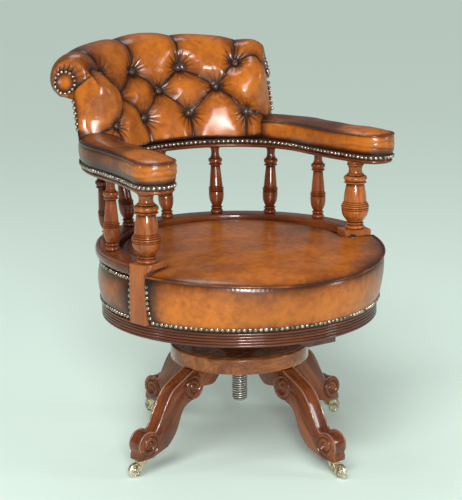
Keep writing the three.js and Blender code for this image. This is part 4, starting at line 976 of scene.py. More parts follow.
rub = np.clip(0.5 + swell(top, 9, 0.13, 0.5), 0, 1)
# Painted shade: the top is darkened where it is drawn down along its edge, more broadly towards the edge, and
# where it meets the hoop at the back. The rub blotches are its own uneven tone, and it is a little darker to
# the right.
dark_top = 0.6 * near(gap, 0.007, 1.2) + 0.14 * near(gap, 0.04) + 0.22 * rub + 0.05
dark_top += 0.5 * near(norm(plan) - 0.252, 0.012) * (plan[..., 1] > -0.04)
dark_top += 0.12 * ramp(plan[..., 0] - 0.06, 0.14)
# Painted shade on the band: darker at its foot among the nails and beside the blocks. It is also painted
# darker towards its top under the piping, with its own blotches, and a little darker to the right.
at_block = near(np.hypot(np.abs(np.abs(edge[:, 0]) - 0.2982), edge[:, 1] + 0.09), 0.024, 1.5)
band = 0.6 * near(shares, 0.3, 1.3) + 1.2 * near(1 - shares, 0.15, 1.8)
blotch = 0.24 * ramp(swell(lifted(edge, 0), 12, 0.2, 1))
dark_skirt = band[:, None] + at_block + blotch + 0.3 * ramp(edge[:, 0] - 0.09, 0.16)
dark = np.concatenate([ramp(dark_top), ramp(dark_skirt), np.ones((len(inside), EDGE_STEPS))])
faces = grid_faces(len(points), EDGE_STEPS) + end_caps(len(points), EDGE_STEPS)
piece = make_piece("seat_cushion", [(points, faces)], tan_hide, "seat", ["seat_pad"],
                   dark=dark, sharp_deg=75)


def front_order(x, y):
    """The edge's points from the left one nearest (-x, y) round the front to its mirror image."""
    first, last = (int(np.argmin(norm(edge - [sign * x, y]))) for sign in (-1, 1))
    return np.arange(first, last - (EDGE_STEPS if first < last else 0) - 1, -1)


line = edge[front_order(0.2345, -0.0775)]
path = lifted(line * 1.0002, np.minimum(seat_height(line) - 0.0018, 0.4515))
dark = np.repeat(np.clip(0.6 + swell(path, 11, 0.07, 0.25), 0.3, 0.95), 10)
make_piece("seat_piping", [tube_shell(path, 0.002, 10)], tan_hide, "seat", dark=dark, sharp_deg=60)

flat = level_way[front_order(0.297, -0.095)][3:-3]
heights = np.linspace(0.3565, 0.4235, 7)
out = np.interp(-heights, -profile[:, 1], profile[:, 0]) + 0.0009
runs = [(lifted(flat * 0.3016, 0.3462), lifted(flat, -0.3))]
for sign in (1, -1):
    away, ahead = block_ways(sign)
    line = lifted(away * np.sqrt(out ** 2 - 0.031 ** 2)[:, None] + ahead * 0.0312, heights)
    runs.append((line, np.tile([*away, 0], (7, 1))))
set_nails("seat_nails", runs)


# Spindles and posts: turned mahogany columns between the hoop and the bow, with rings cut into
# a full lower bulb and a long taper up to a small cup. The grooves are painted darker, for the
# polish gathered in them and as painted shade. The posts' mahogany is a lighter copy of the
# spindles', painted light.
BOW_BOTTOM, BOW_TOP = (corner.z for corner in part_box("arm_bow"))
COLUMN_FOOT, COLUMN_TOP = HOOP_TOP + 0.0003, BOW_BOTTOM - 0.0003
SPINDLE_STEP_DEG, SPINDLE_CIRCLE, POST_CIRCLE = 24.9, 0.284, 0.279
SPINDLE_BULB, POST_BULB = 0.0175, 0.030


def bow_line(turn):
    """The middle of the arm bow in plan: half an ellipse round the back, then two splayed arms."""
    size, side = np.abs(turn), np.where(np.less(turn, 0), -1.0, 1.0)
    angle, share = np.radians(np.minimum(size, 90)), np.maximum(0, size - 90) / 90
    return np.stack([side * (0.262 * np.sin(angle) + 0.021 * share ** 2),
                     0.081 + 0.226 * np.cos(angle) - 0.189 * share], -1)


def bow_outward(turn):
    way = bow_line(turn + 0.05) - bow_line(turn - 0.05)
    return np.stack([-way[..., 1], way[..., 0]], -1) / norm(way)[..., None]


def bead(low, high, radius, bulge):
    """A half round bead between two heights, as (height, radius) shares."""
    angles = np.radians(np.linspace(-80, 80, 7))
    height = (low + high) / 2 + (high - low) / 2 * np.sin(angles)
    return np.stack([height, radius + bulge * np.cos(angles)], -1)


spindle_parts = [
    [(0, 0), (0, 0.66)], bead(0.004, 0.052, 0.66, 0.17), [(0.056, 0.7), (0.068, 0.62)],
    bead(0.074, 0.1, 0.62, 0.16), [(0.106, 0.56)],
    through([(0.112, 0.6), (0.15, 0.78), (0.2, 0.93), (0.27, 1.0), (0.322, 0.985)], 6), [(0.328, 0.86)],
    bead(0.332, 0.35, 0.86, 0.15), [(0.353, 0.84)], bead(0.356, 0.376, 0.86, 0.17), [(0.379, 0.82)],
    bead(0.382, 0.4, 0.82, 0.09), [(0.404, 0.8)],
    through([(0.41, 0.86), (0.5, 0.8), (0.6, 0.71), (0.695, 0.63)], 6), [(0.7, 0.58)],
    bead(0.704, 0.732, 0.62, 0.26), [(0.736, 0.66)],
    through([(0.74, 0.78), (0.765, 0.9), (0.79, 0.91), (0.806, 0.84)], 5), [(0.814, 0.62)],
    bead(0.818, 0.838, 0.56, 0.12), [(0.842, 0.54)], through([(0.85, 0.56), (0.89, 0.52), (0.94, 0.55)], 5),
    bead(0.947, 0.972, 0.52, 0.14), [(0.976, 0.56), (0.98, 0.66), (1, 0.68), (1, 0)]]
post_parts = [
    [(0, 0), (0, 0.58)], bead(0.002, 0.05, 0.58, 0.15), [(0.054, 0.6), (0.064, 0.55)],
    bead(0.068, 0.09, 0.55, 0.12), [(0.096, 0.54)],
    through([(0.102, 0.58), (0.14, 0.72), (0.19, 0.9), (0.24, 0.985), (0.272, 1.0)], 6), [(0.278, 0.93)],
    bead(0.281, 0.3, 0.94, 0.08), [(0.303, 0.91)], bead(0.306, 0.336, 0.93, 0.11), [(0.339, 0.9)],
    bead(0.342, 0.362, 0.92, 0.08), [(0.366, 0.86)], bead(0.369, 0.386, 0.84, 0.06), [(0.39, 0.79)],
    through([(0.397, 0.84), (0.47, 0.82), (0.56, 0.75), (0.645, 0.66)], 6), [(0.65, 0.6)],
    bead(0.654, 0.682, 0.64, 0.2), [(0.686, 0.66)],
    through([(0.69, 0.74), (0.715, 0.85), (0.74, 0.86), (0.762, 0.78)], 5), [(0.768, 0.58)],
    bead(0.772, 0.796, 0.52, 0.12), [(0.8, 0.5)], through([(0.81, 0.52), (0.85, 0.49), (0.9, 0.54)], 5),
    [(0.905, 0.5)], bead(0.91, 0.94, 0.52, 0.12), [(0.944, 0.52), (0.95, 0.6), (1, 0.62), (1, 0)]]
# The posts' mahogany is a lighter copy of the spindles': painted light.
lit_post_mahogany = mahogany_finish(
    "lit post mahogany", (0.045, 0.01, 0.004), (0.26, 0.06, 0.013), (0.54, 0.16, 0.033),
    (0.012, 0.004, 0.003), 0.5)
spindle_mahogany = mahogany_finish(
    "spindle mahogany", (0.035, 0.007, 0.003), (0.14, 0.028, 0.007), (0.34, 0.08, 0.016),
    (0.01, 0.003, 0.002), 0.5)


def turned_column(node, wood, parts, bulb, circle_radius, angle_deg, lean, sides):
    share, wide = np.concatenate(parts).T
    radius = bulb * wide
    height = COLUMN_FOOT + (COLUMN_TOP - COLUMN_FOOT) * share
    points, faces = turned_shell(np.stack([radius, height], -1), sides)
    grain = points[:, [2, 0, 1]] + [angle_deg * 0.37, 0, 0]
    # The grooves are painted darker: painted shade, with polish gathered in them.
    smooth = np.convolve(np.pad(radius, 6, mode="edge"), np.ones(13) / 13, mode="valid")
    hollow_shade = np.tile(ramp(smooth - radius, 0.0022), sides)
    points[:, 0] += lean * (points[:, 2] - COLUMN_FOOT)
    make_piece(f"turned_{node}", [moved((points, faces), angle_deg, circle_radius)], wood, "seat",
               [node], grain, hollow_shade, 42)


line = bow_line(np.linspace(-90, 90, 721))
for i in range(7):
    angle_deg = 90 + SPINDLE_STEP_DEG * (3 - i)
    reach = norm(line[np.argmin(np.abs(np.arctan2(line[:, 1], line[:, 0]) - math.radians(angle_deg)))])
    lean = max(0.0, reach - SPINDLE_CIRCLE) / (COLUMN_TOP - COLUMN_FOOT)
    turned_column(f"spindle_{i + 1}", spindle_mahogany, spindle_parts, SPINDLE_BULB, SPINDLE_CIRCLE,
                  angle_deg, lean, 40)
for side, sign in (("left", 1), ("right", -1)):
    turned_column(f"post_{side}", lit_post_mahogany, post_parts, POST_BULB, POST_CIRCLE,
                  90 + sign * BLOCK_ANGLE_DEG, 0.0, 56)


# Arm bow: a mahogany horseshoe in one sweep from arm to arm, with a rounded lower edge. A black
# strip of hide covers the upper half of its edge, under a close row of nails all the way round.
BOW_HALF, TIP_TURN, TIP_STEPS = 0.042, 180.0, 16


def bow_sweep(section, turns, left_tip, right_tip, tip_steps=TIP_STEPS):
    """A closed, even-sided section swept along the bow, and turned about a tip to close it round."""
    across, heights, rings = section[:, :1], section[:, 1], []

    def tip(turn, shares):
        out = bow_outward(turn)
        ahead = np.array([out[1], -out[0]]) * np.sign(turn)
        for angle in shares * math.pi / 2:
            rings.append(lifted(bow_line(turn) + across * out * math.cos(angle)
                                + np.abs(across) * ahead * math.sin(angle), heights))

    if left_tip:
        tip(turns[0], np.linspace(1, 0, tip_steps, endpoint=False))
    rings += [lifted(bow_line(turn) + across * bow_outward(turn), heights) for turn in turns]
    if right_tip:
        tip(turns[-1], np.linspace(0, 1, tip_steps + 1)[1:])
    first, last = end_caps(len(rings), len(section))
    faces = grid_faces(len(rings), len(section)) + [first] * (not left_tip) + [last] * (not right_tip)
    return np.array(rings), faces


def both_sides(half):
    """A whole section from its right half, given from the bottom middle to the top middle."""
    return np.concatenate([half, (half * np.array([-1, 1]))[::-1][1:-1]])


edge, low, high = BOW_HALF, BOW_BOTTOM, BOW_TOP
turns = np.linspace(-TIP_TURN, TIP_TURN, 301)
wood = both_sides([
    (0, low), (edge - 0.006, low), (edge - 0.0025, low + 0.0008), (edge - 0.0006, low + 0.0026),
    (edge, low + 0.0049), (edge - 0.0005, low + 0.0068), (edge - 0.0016, low + 0.0078),
    (edge - 0.0022, low + 0.0088), (edge - 0.0022, high - 0.0012), (0, high - 0.0012)])
rings, faces = bow_sweep(wood, turns, True, True)
along = np.concatenate([np.full(TIP_STEPS, -0.8), turns * 0.0044, np.full(TIP_STEPS, 0.8)])
grain = np.stack([
    np.repeat(along, len(wood)), np.tile(wood[:, 0], len(rings)), rings[..., 2].reshape(-1)], -1)
# The side just under the hide strip is painted darker, as painted shade under the strip.
dark = np.tile(ramp(wood[:, 1] - low - 0.0066, 0.002) * (np.abs(wood[:, 0]) > 0.03), len(rings))
make_piece("horseshoe_bow", [(rings, faces)], mahogany, "seat", ["arm_bow"], grain, dark, 50)
strip = both_sides([
    (0, low + 0.009), (edge - 0.0016, low + 0.0088), (edge - 0.0002, low + 0.0094),
    (edge + 0.0003, low + 0.013), (edge, high - 0.0006), (edge - 0.0014, high + 0.0001), (0, high + 0.0001)])
rings, faces = bow_sweep(strip, turns, True, True)
make_piece("bow_strip", [(rings, faces)], edge_hide, "seat", dark=np.zeros(rings.size // 3),
           sharp_deg=60)

out, turns = BOW_HALF + 0.0007, np.linspace(-TIP_TURN, TIP_TURN, 361)
middle, way = bow_line(turns), bow_outward(turns)
half_round = around(np.radians(np.linspace(0, 180, 31)[1:-1]))
right, left = (order * (half_round @ [tip, [tip[1], -tip[0]]]) for order, tip in ((1, way[-1]), (-1, way[0])))
line = np.concatenate([
    middle + way * out, middle[-1] + right * out, (middle - way * out)[::-1], middle[0] + left * out])
ways = np.concatenate([way, right, -way[::-1], left])
set_nails("bow_nails", [(lifted(line, BOW_TOP - 0.0057)[:-1], lifted(ways, 0)[:-1])])


# Arm pads: firm stuffed pads with a piped top edge and straight sides that are drawn down to the
# nails. The hide creases a little where it is worked round the front of each arm.
PAD_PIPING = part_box("arm_pad_left")[1].z - 0.010
PAD_HALF, PAD_TIP_STEPS = 0.0445, 24
BACK_END_TURN, ROLL_END_TURN = 58.0, 51.6


def arm_pad(side, sign):
    base, piping = BOW_TOP + 0.0003, PAD_PIPING - 0.0006
    section = both_sides(np.concatenate([
        [(0, base)],
        through([(0.0424, base + 0.0004), (0.0441, base + 0.005), (0.0461, base + 0.014),
                 (0.0465, base + 0.024), (0.0459, base + 0.033), (0.0444, piping - 0.0026)], 4),
        arc((PAD_HALF - 0.0007, piping), 0.0019, -62, 168, 9),
        through([(0.0405, piping + 0.0006), (0.0385, piping + 0.0022), (0.0325, piping + 0.0052),
                 (0.0225, piping + 0.0082), (0.011, piping + 0.0098), (0.0, piping + 0.0102)], 3)]))
    across, up = section.T
    turns = sign * np.linspace(BACK_END_TURN + 0.1, TIP_TURN, 170)[::sign]
    rings, faces = bow_sweep(section, turns, sign < 0, sign > 0, PAD_TIP_STEPS)
    flat = rings[..., :2] - bow_line(sign * TIP_TURN)
    to_tip = norm(flat)
    height = (rings[..., 2] - base) / (piping - base)
    on_wall = ramp(height, 0.15) * ramp(0.93 - height, 0.15) * (np.abs(across) > 0.04)
    angle = np.arctan2(flat[..., 1], flat[..., 0])
    crease = near(height - 0.36 - 0.07 * np.sin(2.2 * angle + sign), 0.055)
    crease = crease + 0.7 * near(height - 0.66 - 0.05 * np.sin(3.0 * angle), 0.05)
    crease = crease * near(np.maximum(0, to_tip - 0.04), 0.035) * on_wall
    push = swell(rings, 21 + sign, 0.07, 0.0007) * on_wall - 0.0013 * crease
    push = push * ramp(0.095 - to_tip, 0.035) / np.maximum(to_tip, 1e-6)
    rings[..., :2] += flat * push[..., None]
    rings[..., 2] += swell(rings, 31 + sign, 0.08, 0.0006) * (rings[..., 2] > piping + 0.003)

    ring_turns = np.concatenate([turns, np.full(PAD_TIP_STEPS, TIP_TURN)][::sign])[:, None]
    from_back = (np.abs(ring_turns) - BACK_END_TURN) * 0.0045
    # Painted shade: darker along the piping, at the foot by the nails, in the creases and where the pad meets
    # the back. Away from the tip the outer side is painted darker, partly for the dye and partly as painted
    # shade on the side turned from the lamps, and the top is painted darker too. The last term is the hide's
    # own blotches.
    dark = 0.5 * near(np.abs(up - piping), 0.0045, 1.4) + near(up - base, 0.008, 1.5)
    dark = dark * (np.abs(across) > 0.035)
    dark = dark + ramp(to_tip - 0.05, 0.05) * (0.4 * (across > 0.04) + 0.45 * (up > piping + 0.001))
    dark = dark + 0.75 * near(from_back, 0.016, 1.5) + 0.25 * crease
    dark = dark + 0.16 * ramp(0.6 + swell(rings, 41 + sign, 0.08, 0.5))
    piece = make_piece(f"arm_cushion_{side}", [(rings, faces)], tan_hide, "seat",
                       [f"arm_pad_{side}"], dark=ramp(dark), sharp_deg=70)


arm_pad("left", -1)
arm_pad("right", 1)


# Back: hair stuffing over the board, under one hide that runs from the bow up the face and over a
# scroll. Eleven buttons draw it in, with folded pleats between them in diamonds. It ends at each
# side in a gathered roll round a rosette and a flat end below it, with a deep fold between them.
BACK_FOOT, FACE_FOOT = BOW_TOP + 0.0003, BOW_TOP + 0.0004
BOARD_END_TURN, BOARD_DEPTH = 50.1, 0.0223
# The scroll in the middle of the back and at its ends: how far out it is, its rise and its radius
SCROLL_OUT, SCROLL_RISE, SCROLL_RADIUS = (0.084, 0.067), (0.176, 0.165), (0.058, 0.0475)
# The turns from which the stuffing thins, the ends skew, the hollows flatten and the rolls draw in
THIN_TURN, SKEW_TURN, FLAT_TURN, DRAW_TURN = 45.0, 46.0, 51.0, 52.0
END_SKEW, END_DRAW = math.tan(math.radians(10)), 0.15


def blend_ends(middle, end, turn, ease=1.6):
    return middle + (end - middle) * np.minimum(1, np.abs(turn) / BACK_END_TURN) ** ease


def scroll_radius(turn):
    return blend_ends(*SCROLL_RADIUS, turn, 1.2)


def scroll_rise(turn):
    return blend_ends(*SCROLL_RISE, turn, 1.2)


def board_top(turn):
    return BOW_TOP + scroll_rise(turn) - 0.95 * scroll_radius(turn)


def back_outer(turn, inset, height):
    share = (height - BACK_FOOT) / (board_top(turn) - BACK_FOOT)
    return 0.041 - inset + blend_ends(0.040, 0.018, turn) * share


def back_place(turn, out, height):
    """A point of the back, which draws in towards the middle as it rises."""
    turn, out, height = np.broadcast_arrays(turn, out, height)
    risen = ramp(height - BACK_FOOT, SCROLL_RISE[0])
    real = turn * (1 + (ROLL_END_TURN / BACK_END_TURN - 1) * risen ** 1.5)
    return lifted(bow_line(real) + bow_outward(real) * out[..., None], height)


def round_end(turn):
    """How far a roll has drawn in where it is worked round its end."""
    return 1 - END_DRAW * ramp(np.abs(turn) - DRAW_TURN, BACK_END_TURN - DRAW_TURN) ** 2.4


def end_way(sign):
    """The level way out of a roll's end, and the way across it to the outside of the back."""
    across = bow_outward(sign * ROLL_END_TURN)
    ahead = np.stack([across[..., 1], -across[..., 0], 0 * across[..., 0]], -1)
    return ahead * np.asarray(sign)[..., None], across


def skewed(turn, out, height):
    """A place of the back. A roll's end stands a little more to the side than the bow does."""
    weight = ramp(np.abs(turn) - SKEW_TURN, BACK_END_TURN - SKEW_TURN) ** 2
    weight = weight * ramp(height - BOW_TOP - 0.08, 0.05) * (SCROLL_OUT[1] - out) * END_SKEW
    return back_place(turn, out, height) + end_way(np.sign(turn))[0] * weight[..., None]


def face_line(turn):
    """The line that the stuffing stands on, from the foot up the face and over the scroll."""
    out, rise = blend_ends(*SCROLL_OUT, turn), scroll_rise(turn)
    radius = scroll_radius(turn) * round_end(turn)
    left = math.sqrt(1 - (max(0.0, abs(turn) - THIN_TURN) / (BACK_END_TURN - THIN_TURN) * 0.98) ** 2)
    spots = []
    for up, end_up, share, end_share, kept in (
            (0, 0, 0, 0, 1), (0.34, 0.36, 0.27, -0.03, 0.05), (0.66, 0.68, 0.7, 0.17, 0.34),
            (0.88, 0.9, 0.97, 0.5, 0.9)):
        height = BOW_TOP + rise * blend_ends(up, end_up, turn)
        reach = -0.036 + (out - radius + 0.036) * blend_ends(share, end_share, turn)
        outer = min(back_outer(turn, 0, height), out)
        spots.append((outer + (reach - outer) * (left + (1 - left) * kept), max(height, BACK_FOOT)))
    return through(np.concatenate([spots, arc((out, BOW_TOP + rise), radius, 150, -60, 8)]), 14)


BUTTONS = [(-0.83, 0.29), (-0.252, 0.29), (0.252, 0.29), (0.83, 0.29),
           (-0.553, 0.57), (0.0, 0.57), (0.553, 0.57),
           (-0.774, 0.84), (-0.245, 0.8), (0.245, 0.8), (0.774, 0.84)]
FACE_LENGTH, FACE_HALF = 0.212, 0.226 * math.radians(BACK_END_TURN)
ROSETTE, ROSETTE_RADIUS = np.array([0.078, 0.797]), 0.0215
END_MIDDLE = np.array([SCROLL_OUT[1], BOW_TOP + scroll_rise(BACK_END_TURN)])
END_RADIUS = scroll_radius(BACK_END_TURN) * round_end(BACK_END_TURN)
FOLD_START, FOLD_END = ROSETTE - [0.010, 0.0195], END_MIDDLE - [END_RADIUS + 0.006, -0.006]
END_LINE = face_line(BACK_END_TURN)
FOLD_ALONG = measured(END_LINE)[np.argmin(norm(END_LINE - FOLD_END))] / FACE_LENGTH
PLEATS = [(BUTTONS[m], BUTTONS[c]) for m in (4, 5, 6) for c in (m - 4, m - 3, m + 3, m + 4)]
PLEATS += [(BUTTONS[i], (BUTTONS[i][0], -0.1)) for i in range(4)]
PLEATS += [(BUTTONS[i], (BUTTONS[i][0], 2.3)) for i in range(7, 11)]
PLEATS += [(BUTTONS[i], (math.copysign(1.2, BUTTONS[i][0]), 0.27)) for i in (0, 3)]
PLEATS += [(BUTTONS[i], (math.copysign(1.0, BUTTONS[i][0]), FOLD_ALONG - 0.06)) for i in (7, 10)]
BACK_COLUMNS, BACK_ROWS, END_SPOKES, END_STEPS = 321, 230, 180, 25


def laid_flat(spot):
    return np.array(spot) * [FACE_HALF, FACE_LENGTH]


def from_fold(flat):
    """The distance to the fold under a roll's end, and how far below its line a place is."""
    away, way = flat - FOLD_START, FOLD_END - FOLD_START
    share = ramp(away @ way, way @ way)
    return norm(away - share[..., None] * way), away @ [-way[1], way[0]] / norm(way)


def end_place(sign, flat, lift):
    """A place over a roll's end, from its (out, height) and how far it stands proud."""
    turn = np.full(flat.shape[:-1], sign * BACK_END_TURN)
    return skewed(turn, flat[..., 0], flat[..., 1]) + np.asarray(lift)[..., None] * end_way(sign)[0]


def roll_end(sign):
    """The gathered end of the roll, round its rosette."""
    angle = circle(END_SPOKES)
    ring, shift = around(angle), ROSETTE - END_MIDDLE
    above = 0.3 + 0.7 * ramp(0.35 + np.sin(angle + 0.5))
    # Each row's last value is painted shade: darker in the gathers' hollows, along the fold, towards the
    # rosette and round its edge.
    rows = [(END_MIDDLE + ring * reach, -0.004, 0.6) for reach in (1e-5, END_RADIUS - 0.0004)]
    for share in np.linspace(0, 1, 26):
        flat = END_MIDDLE + shift * share + ring * (END_RADIUS + (ROSETTE_RADIUS - END_RADIUS) * share)
        distance, below = from_fold(flat)
        fold = near(distance, 0.0022, 1)
        gather = np.sin(angle * 17 + 0.6) * above * share ** 0.7
        gather = gather * math.sin(math.pi * share * 0.62 + 0.15) ** 2
        swollen = 0.0078 * math.sqrt(1 - (1 - min(1, share / 0.6)) ** 2) - 0.0015 - 0.0008 * share
        sunk = 0.011 * ramp(below - 0.001, 0.005) * ramp(ROSETTE[0] - 0.006 - flat[:, 0], 0.01)
        rows.append((flat, swollen + 0.0018 * gather - 0.0026 * fold * min(1, 4 * share) - sunk,
                     0.26 + 0.7 * share ** 4 + 0.5 * ramp(-gather) + 0.9 * fold))
    for share in np.linspace(0.0, 1, 8)[1:]:
        rows.append((ROSETTE + ring * max(ROSETTE_RADIUS * (1 - share), 1e-5),
                     0.0006 + 0.0062 * math.sqrt(share), 0.75 * (1 - share) ** 2 + 0.1))
    points = np.array([end_place(sign, flat, lift) for flat, lift, _ in rows])
    dark = np.concatenate([np.broadcast_to(shade, END_SPOKES) for _, _, shade in rows])
    return (points, grid_faces(len(points), END_SPOKES)), ramp(dark)


def bolster_end(sign, line):
    """The barely rounded end under a roll, from the face's edge to the outside back."""
    inner = line[:int(np.argmax(norm(line - END_MIDDLE) < END_RADIUS + 0.001)) + 1]
    level = np.linspace(FACE_FOOT, board_top(BACK_END_TURN) + 0.004, len(inner))
    outer = np.stack([back_outer(BACK_END_TURN, 0, level) + 0.0003, level], -1)
    across = np.linspace(0, 1, END_STEPS)
    flat = inner[:, None] + (outer - inner)[:, None] * across[:, None]
    points = end_place(sign, flat, 0.0002 + 0.0012 * np.sin(np.pi * across))
    # Painted shade: darker along the fold, at its seam with the face, a little towards the outside back, and
    # just over the arm pad.
    dark = 0.85 * near(from_fold(flat)[0], 0.002, 1) + 0.7 * near((1 - across) * 0.06, 0.009, 1.5)
    dark = dark + 0.12 * across + 0.5 * near(np.maximum(0, flat[..., 1] - PAD_PIPING - 0.008), 0.008, 1.5)
    return (points, grid_faces(len(inner), END_STEPS, False)), ramp(dark).reshape(-1)


turns = np.linspace(-BACK_END_TURN, BACK_END_TURN, BACK_COLUMNS)[:, None]
base, along = (np.array(part) for part in zip(*(evened(face_line(float(t)), BACK_ROWS) for t in turns[:, 0])))
way = np.gradient(base, axis=1)
way /= norm(way)[..., None]
here = np.stack([np.broadcast_to(turns / BACK_END_TURN * FACE_HALF, along.shape), along], -1)
to_button, to_pleat, ripples, streaks = 1.0, 1.0, 0.0, 0.0
for i, spot in enumerate(BUTTONS):
    away = here - laid_flat(spot)
    distance, angle = norm(away), np.arctan2(away[..., 1], away[..., 0])
    up = -1 if i < 4 else 0 if i < 7 else 1
    facing = 0.35 + 0.65 * ramp(np.sin(angle) * up) if up else 0.4
    fan = np.sin(angle * 15 + i) + 0.4 * np.sin(angle * 27 + 2 * i)
    ring = near(distance - 0.017, 0.011) + 0.35 * near(distance - 0.03, 0.012)
    ripples = ripples + 0.0011 * facing * fan * ring
    # The streaks are painted shade in the hollows of the ripples round the buttons.
    streaks = streaks + np.clip(-fan, 0, 2) * facing * ring
    to_button = np.minimum(to_button, distance)
for start, end in PLEATS:
    away, pleat = here - laid_flat(start), laid_flat(end) - laid_flat(start)
    share = ramp(away @ pleat, pleat @ pleat)
    to_pleat = np.minimum(to_pleat, norm(away - share[..., None] * pleat))

clear, full = 1 - near(to_button, 0.026), 1 - 0.42 * near(to_pleat, 0.017)
over = np.linspace(0, 1, BACK_ROWS)[None, :]
gone = ramp(over - 0.3, 0.45)
near_end = ramp(np.abs(turns) - FLAT_TURN, BACK_END_TURN - FLAT_TURN)
fade = (1 - gone ** 2 * (3 - 2 * gone)) * np.sqrt(np.maximum(0, 1 - near_end ** 2.2))
foot = ramp(along, 0.006) ** 0.5
height = 0.0205 * clear * full * fade * foot - 0.003 * (1 - clear)
height -= 0.0042 * near(to_pleat, 0.0024, 1) * clear * (0.35 + 0.65 * fade) * foot * ramp(0.97 - over, 0.1)
height -= 0.0042 * (1 - fade) * near(to_pleat, 0.017) * ramp(0.9 - over, 0.3)
height += ripples * (0.3 + 0.7 * fade) + swell(lifted(here, 0), 51, 0.09, 0.0009) * foot
section = base + np.stack([-way[..., 1], way[..., 0]], -1) * np.where(near_end < 1, height, 0)[..., None]
section[..., 1] = np.maximum(section[..., 1], FACE_FOOT)
skin = skewed(turns, section[..., 0], section[..., 1])
top, inset = board_top(turns) + 0.0003, np.where(np.abs(turns) < BOARD_END_TURN, BOARD_DEPTH, 0.0)
under = [back_place(turns, back_outer(turns, inside, z) + proud, z) for inside, z, proud in (
    (0, top, 0.0003), (inset, top, 0), (inset, FACE_FOOT, 0))]
points = np.concatenate([skin, *under], 1)
faces = grid_faces(*points.shape[:2]) + end_caps(*points.shape[:2])

# Painted shade: the hide is darkened along the pleats and beside them, round the buttons, in the ripples'
# hollows and at its foot. It is painted darker over the top of the scroll, and darkest as painted shade where
# it turns under. The crest is a little darker to the left.
dark = 0.85 * near(to_pleat, 0.0015, 1) + 0.4 * near(to_pleat, 0.02, 1.6)
dark = np.maximum(dark, 1.15 * near(to_button, 0.0135) + 0.3 * near(to_button, 0.028))
dark = dark + 0.4 * ramp(streaks) + near(along, 0.007, 1.8) + 0.17 * ramp(-turns, 40) * ramp(over - 0.22, 0.1)
dark = dark + 0.26 * ramp(over - 0.5, 0.2) + 0.5 * ramp(over - 0.9, 0.1)
dark = np.concatenate([ramp(dark), np.full((BACK_COLUMNS, 3), 0.3)], 1)
shells, darks = [(points, faces)], [dark.reshape(-1)]
for sign in (-1, 1):
    for shell, shade in (roll_end(sign), bolster_end(sign, section[0 if sign < 0 else -1])):
        shells.append(shell)
        darks.append(shade)
piece = make_piece("buttoned_back", shells, tan_hide, "seat", ["back_upholstery"],
                   dark=np.concatenate(darks), sharp_deg=80)


# Bolt cap: a small dark dome over a bolt, on the seat before the right block. It is blacked iron.
BOLT_PLACE = [0.2424, -0.0896, 0.4522]
bolt_iron = iron_finish("blacked iron", (0.16, 0.14, 0.13), (0.05, 0.04, 0.035), 0.14)
dome = through([(0.0003, 0.0062), (0.0045, 0.0056), (0.0082, 0.0036), (0.0102, 0.0008), (0.0104, -0.003)], 4)
points, faces = turned_shell([*dome, (0.0003, -0.003)], 40)
make_piece("bolt_cap", [(points + BOLT_PLACE, faces)], bolt_iron, "seat")


# Buttons: hide-covered domes, each sunk in its hollow of the back and facing out of it. Their
# hide is darker and more polished than the rest.
button_hide = hide_finish(
    "button hide", (0.1, 0.045, 0.025), (0.055, 0.024, 0.014), (0.012, 0.008, 0.006), 0.14)
dome = through([(0.0002, 0.0062), (0.0035, 0.0057), (0.0062, 0.0041), (0.0078, 0.0014),
                (0.008, -0.001), (0.0066, -0.003)], 3)
dome, faces = turned_shell([*dome, (0.0002, -0.003)], 28)
shells = []
for side, up in map(laid_flat, BUTTONS):
    at = int(np.argmin(np.abs(here[:, 0, 0] - side)))
    row = int(np.argmin(np.abs(along[at] - up)))
    out = np.cross(skin[at, row + 6] - skin[at, row - 6], skin[at + 8, row] - skin[at - 8, row])
    out *= -1 if out[:2] @ skin[at, row, :2] > 0 else 1
    turn = Vector(out / norm(out)).to_track_quat("Z", "Y").to_matrix()
    shells.append((dome @ np.array(turn).T + skin[at, row], faces))
make_piece("back_buttons", shells, button_hide, "seat", dark=np.zeros(len(BUTTONS) * len(dome)),
           sharp_deg=60)


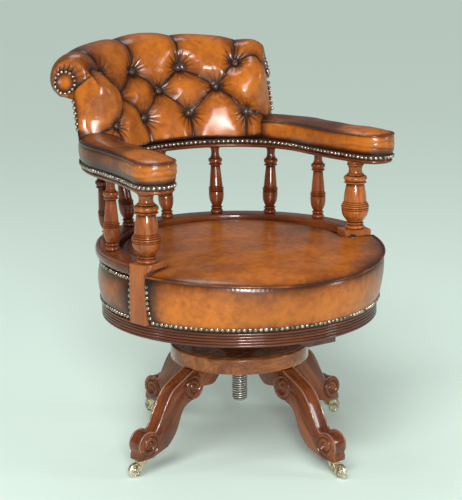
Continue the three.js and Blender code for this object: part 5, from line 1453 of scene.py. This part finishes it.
# Nails of the back's ends: a close ring of small ones round each rosette, and a row of full size
# ones up each end, where the hide meets the outside back.
RING_POINTS, EDGE_POINTS = 60, 12
rosettes, edges = [], []
height = np.linspace(PAD_PIPING + 0.016, board_top(BACK_END_TURN) - 0.004, EDGE_POINTS)
edge_line = np.stack([back_outer(BACK_END_TURN, 0, height) - 0.0006, height], -1)
ring = ROSETTE + around(np.radians(np.linspace(0, 336, RING_POINTS)), ROSETTE_RADIUS + 0.0012)
for sign in (-1, 1):
    ahead, across = end_way(sign)
    rosettes.append((end_place(sign, ring, 0.0058), np.tile(ahead, (RING_POINTS, 1))))
    outward = lifted(0.75 * across, 0) + 0.66 * ahead
    edges.append((end_place(sign, edge_line, 0.0022), np.tile(outward, (EDGE_POINTS, 1))))
set_nails("rosette_nails", rosettes, Spacing=0.0095, Head_radius=0.0038)
set_nails("edge_nails", edges)


# Outside back: a plain hide panel over the board, padded very thinly, close nailed along its
# foot, its ends and under the scroll.
PANEL_COLUMNS, PANEL_ROWS, PANEL_LIMIT = 201, 41, 49.7
turns = np.linspace(-PANEL_LIMIT, PANEL_LIMIT, PANEL_COLUMNS)[:, None]
share = np.linspace(0, 1, PANEL_ROWS)
low = BOW_TOP + 0.0006
height = low + (board_top(turns) - low) * share
edge = np.minimum(np.minimum(share, 1 - share) * 0.12, (PANEL_LIMIT - np.abs(turns)) * 0.0054)
rise = 0.0022 * (1 - near(edge, 0.012, 1.5))
skin = back_place(turns, back_outer(turns, 0, height) + rise, height)
skin[..., :2] += (swell(skin, 61, 0.11, 0.0005) * (edge > 0.004))[..., None] * bow_outward(turns)
inner = back_place(turns, back_outer(turns, 0.0024, height[:, ::-1]), height[:, ::-1])
# Painted darker towards the nailed edges, partly for the dye and partly as painted shade where the padding
# turns in to the nails, with the hide's own blotches.
dark = ramp(near(edge, 0.011, 1.3) + 0.25 * ramp(swell(skin, 62, 0.12, 1)) + 0.12)
size = (PANEL_COLUMNS, 2 * PANEL_ROWS)
piece = make_piece("outside_panel", [(np.concatenate([skin, inner], 1), grid_faces(*size) + end_caps(*size))],
                   tan_hide, "seat", ["outside_back"],
                   dark=np.concatenate([dark, np.ones_like(dark)], 1), sharp_deg=60)

ways = lifted(bow_outward(turns[:, 0]), 0)
runs = [(skin[3:-3, row] + ways[3:-3] * 0.0008, ways[3:-3]) for row in (2, PANEL_ROWS - 4)]
runs += [(skin[at, 6:-7] + ways[at] * 0.0008, np.tile(ways[at], (PANEL_ROWS - 13, 1)))
         for at in (2, PANEL_COLUMNS - 3)]
set_nails("outside_nails", runs)


low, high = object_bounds()
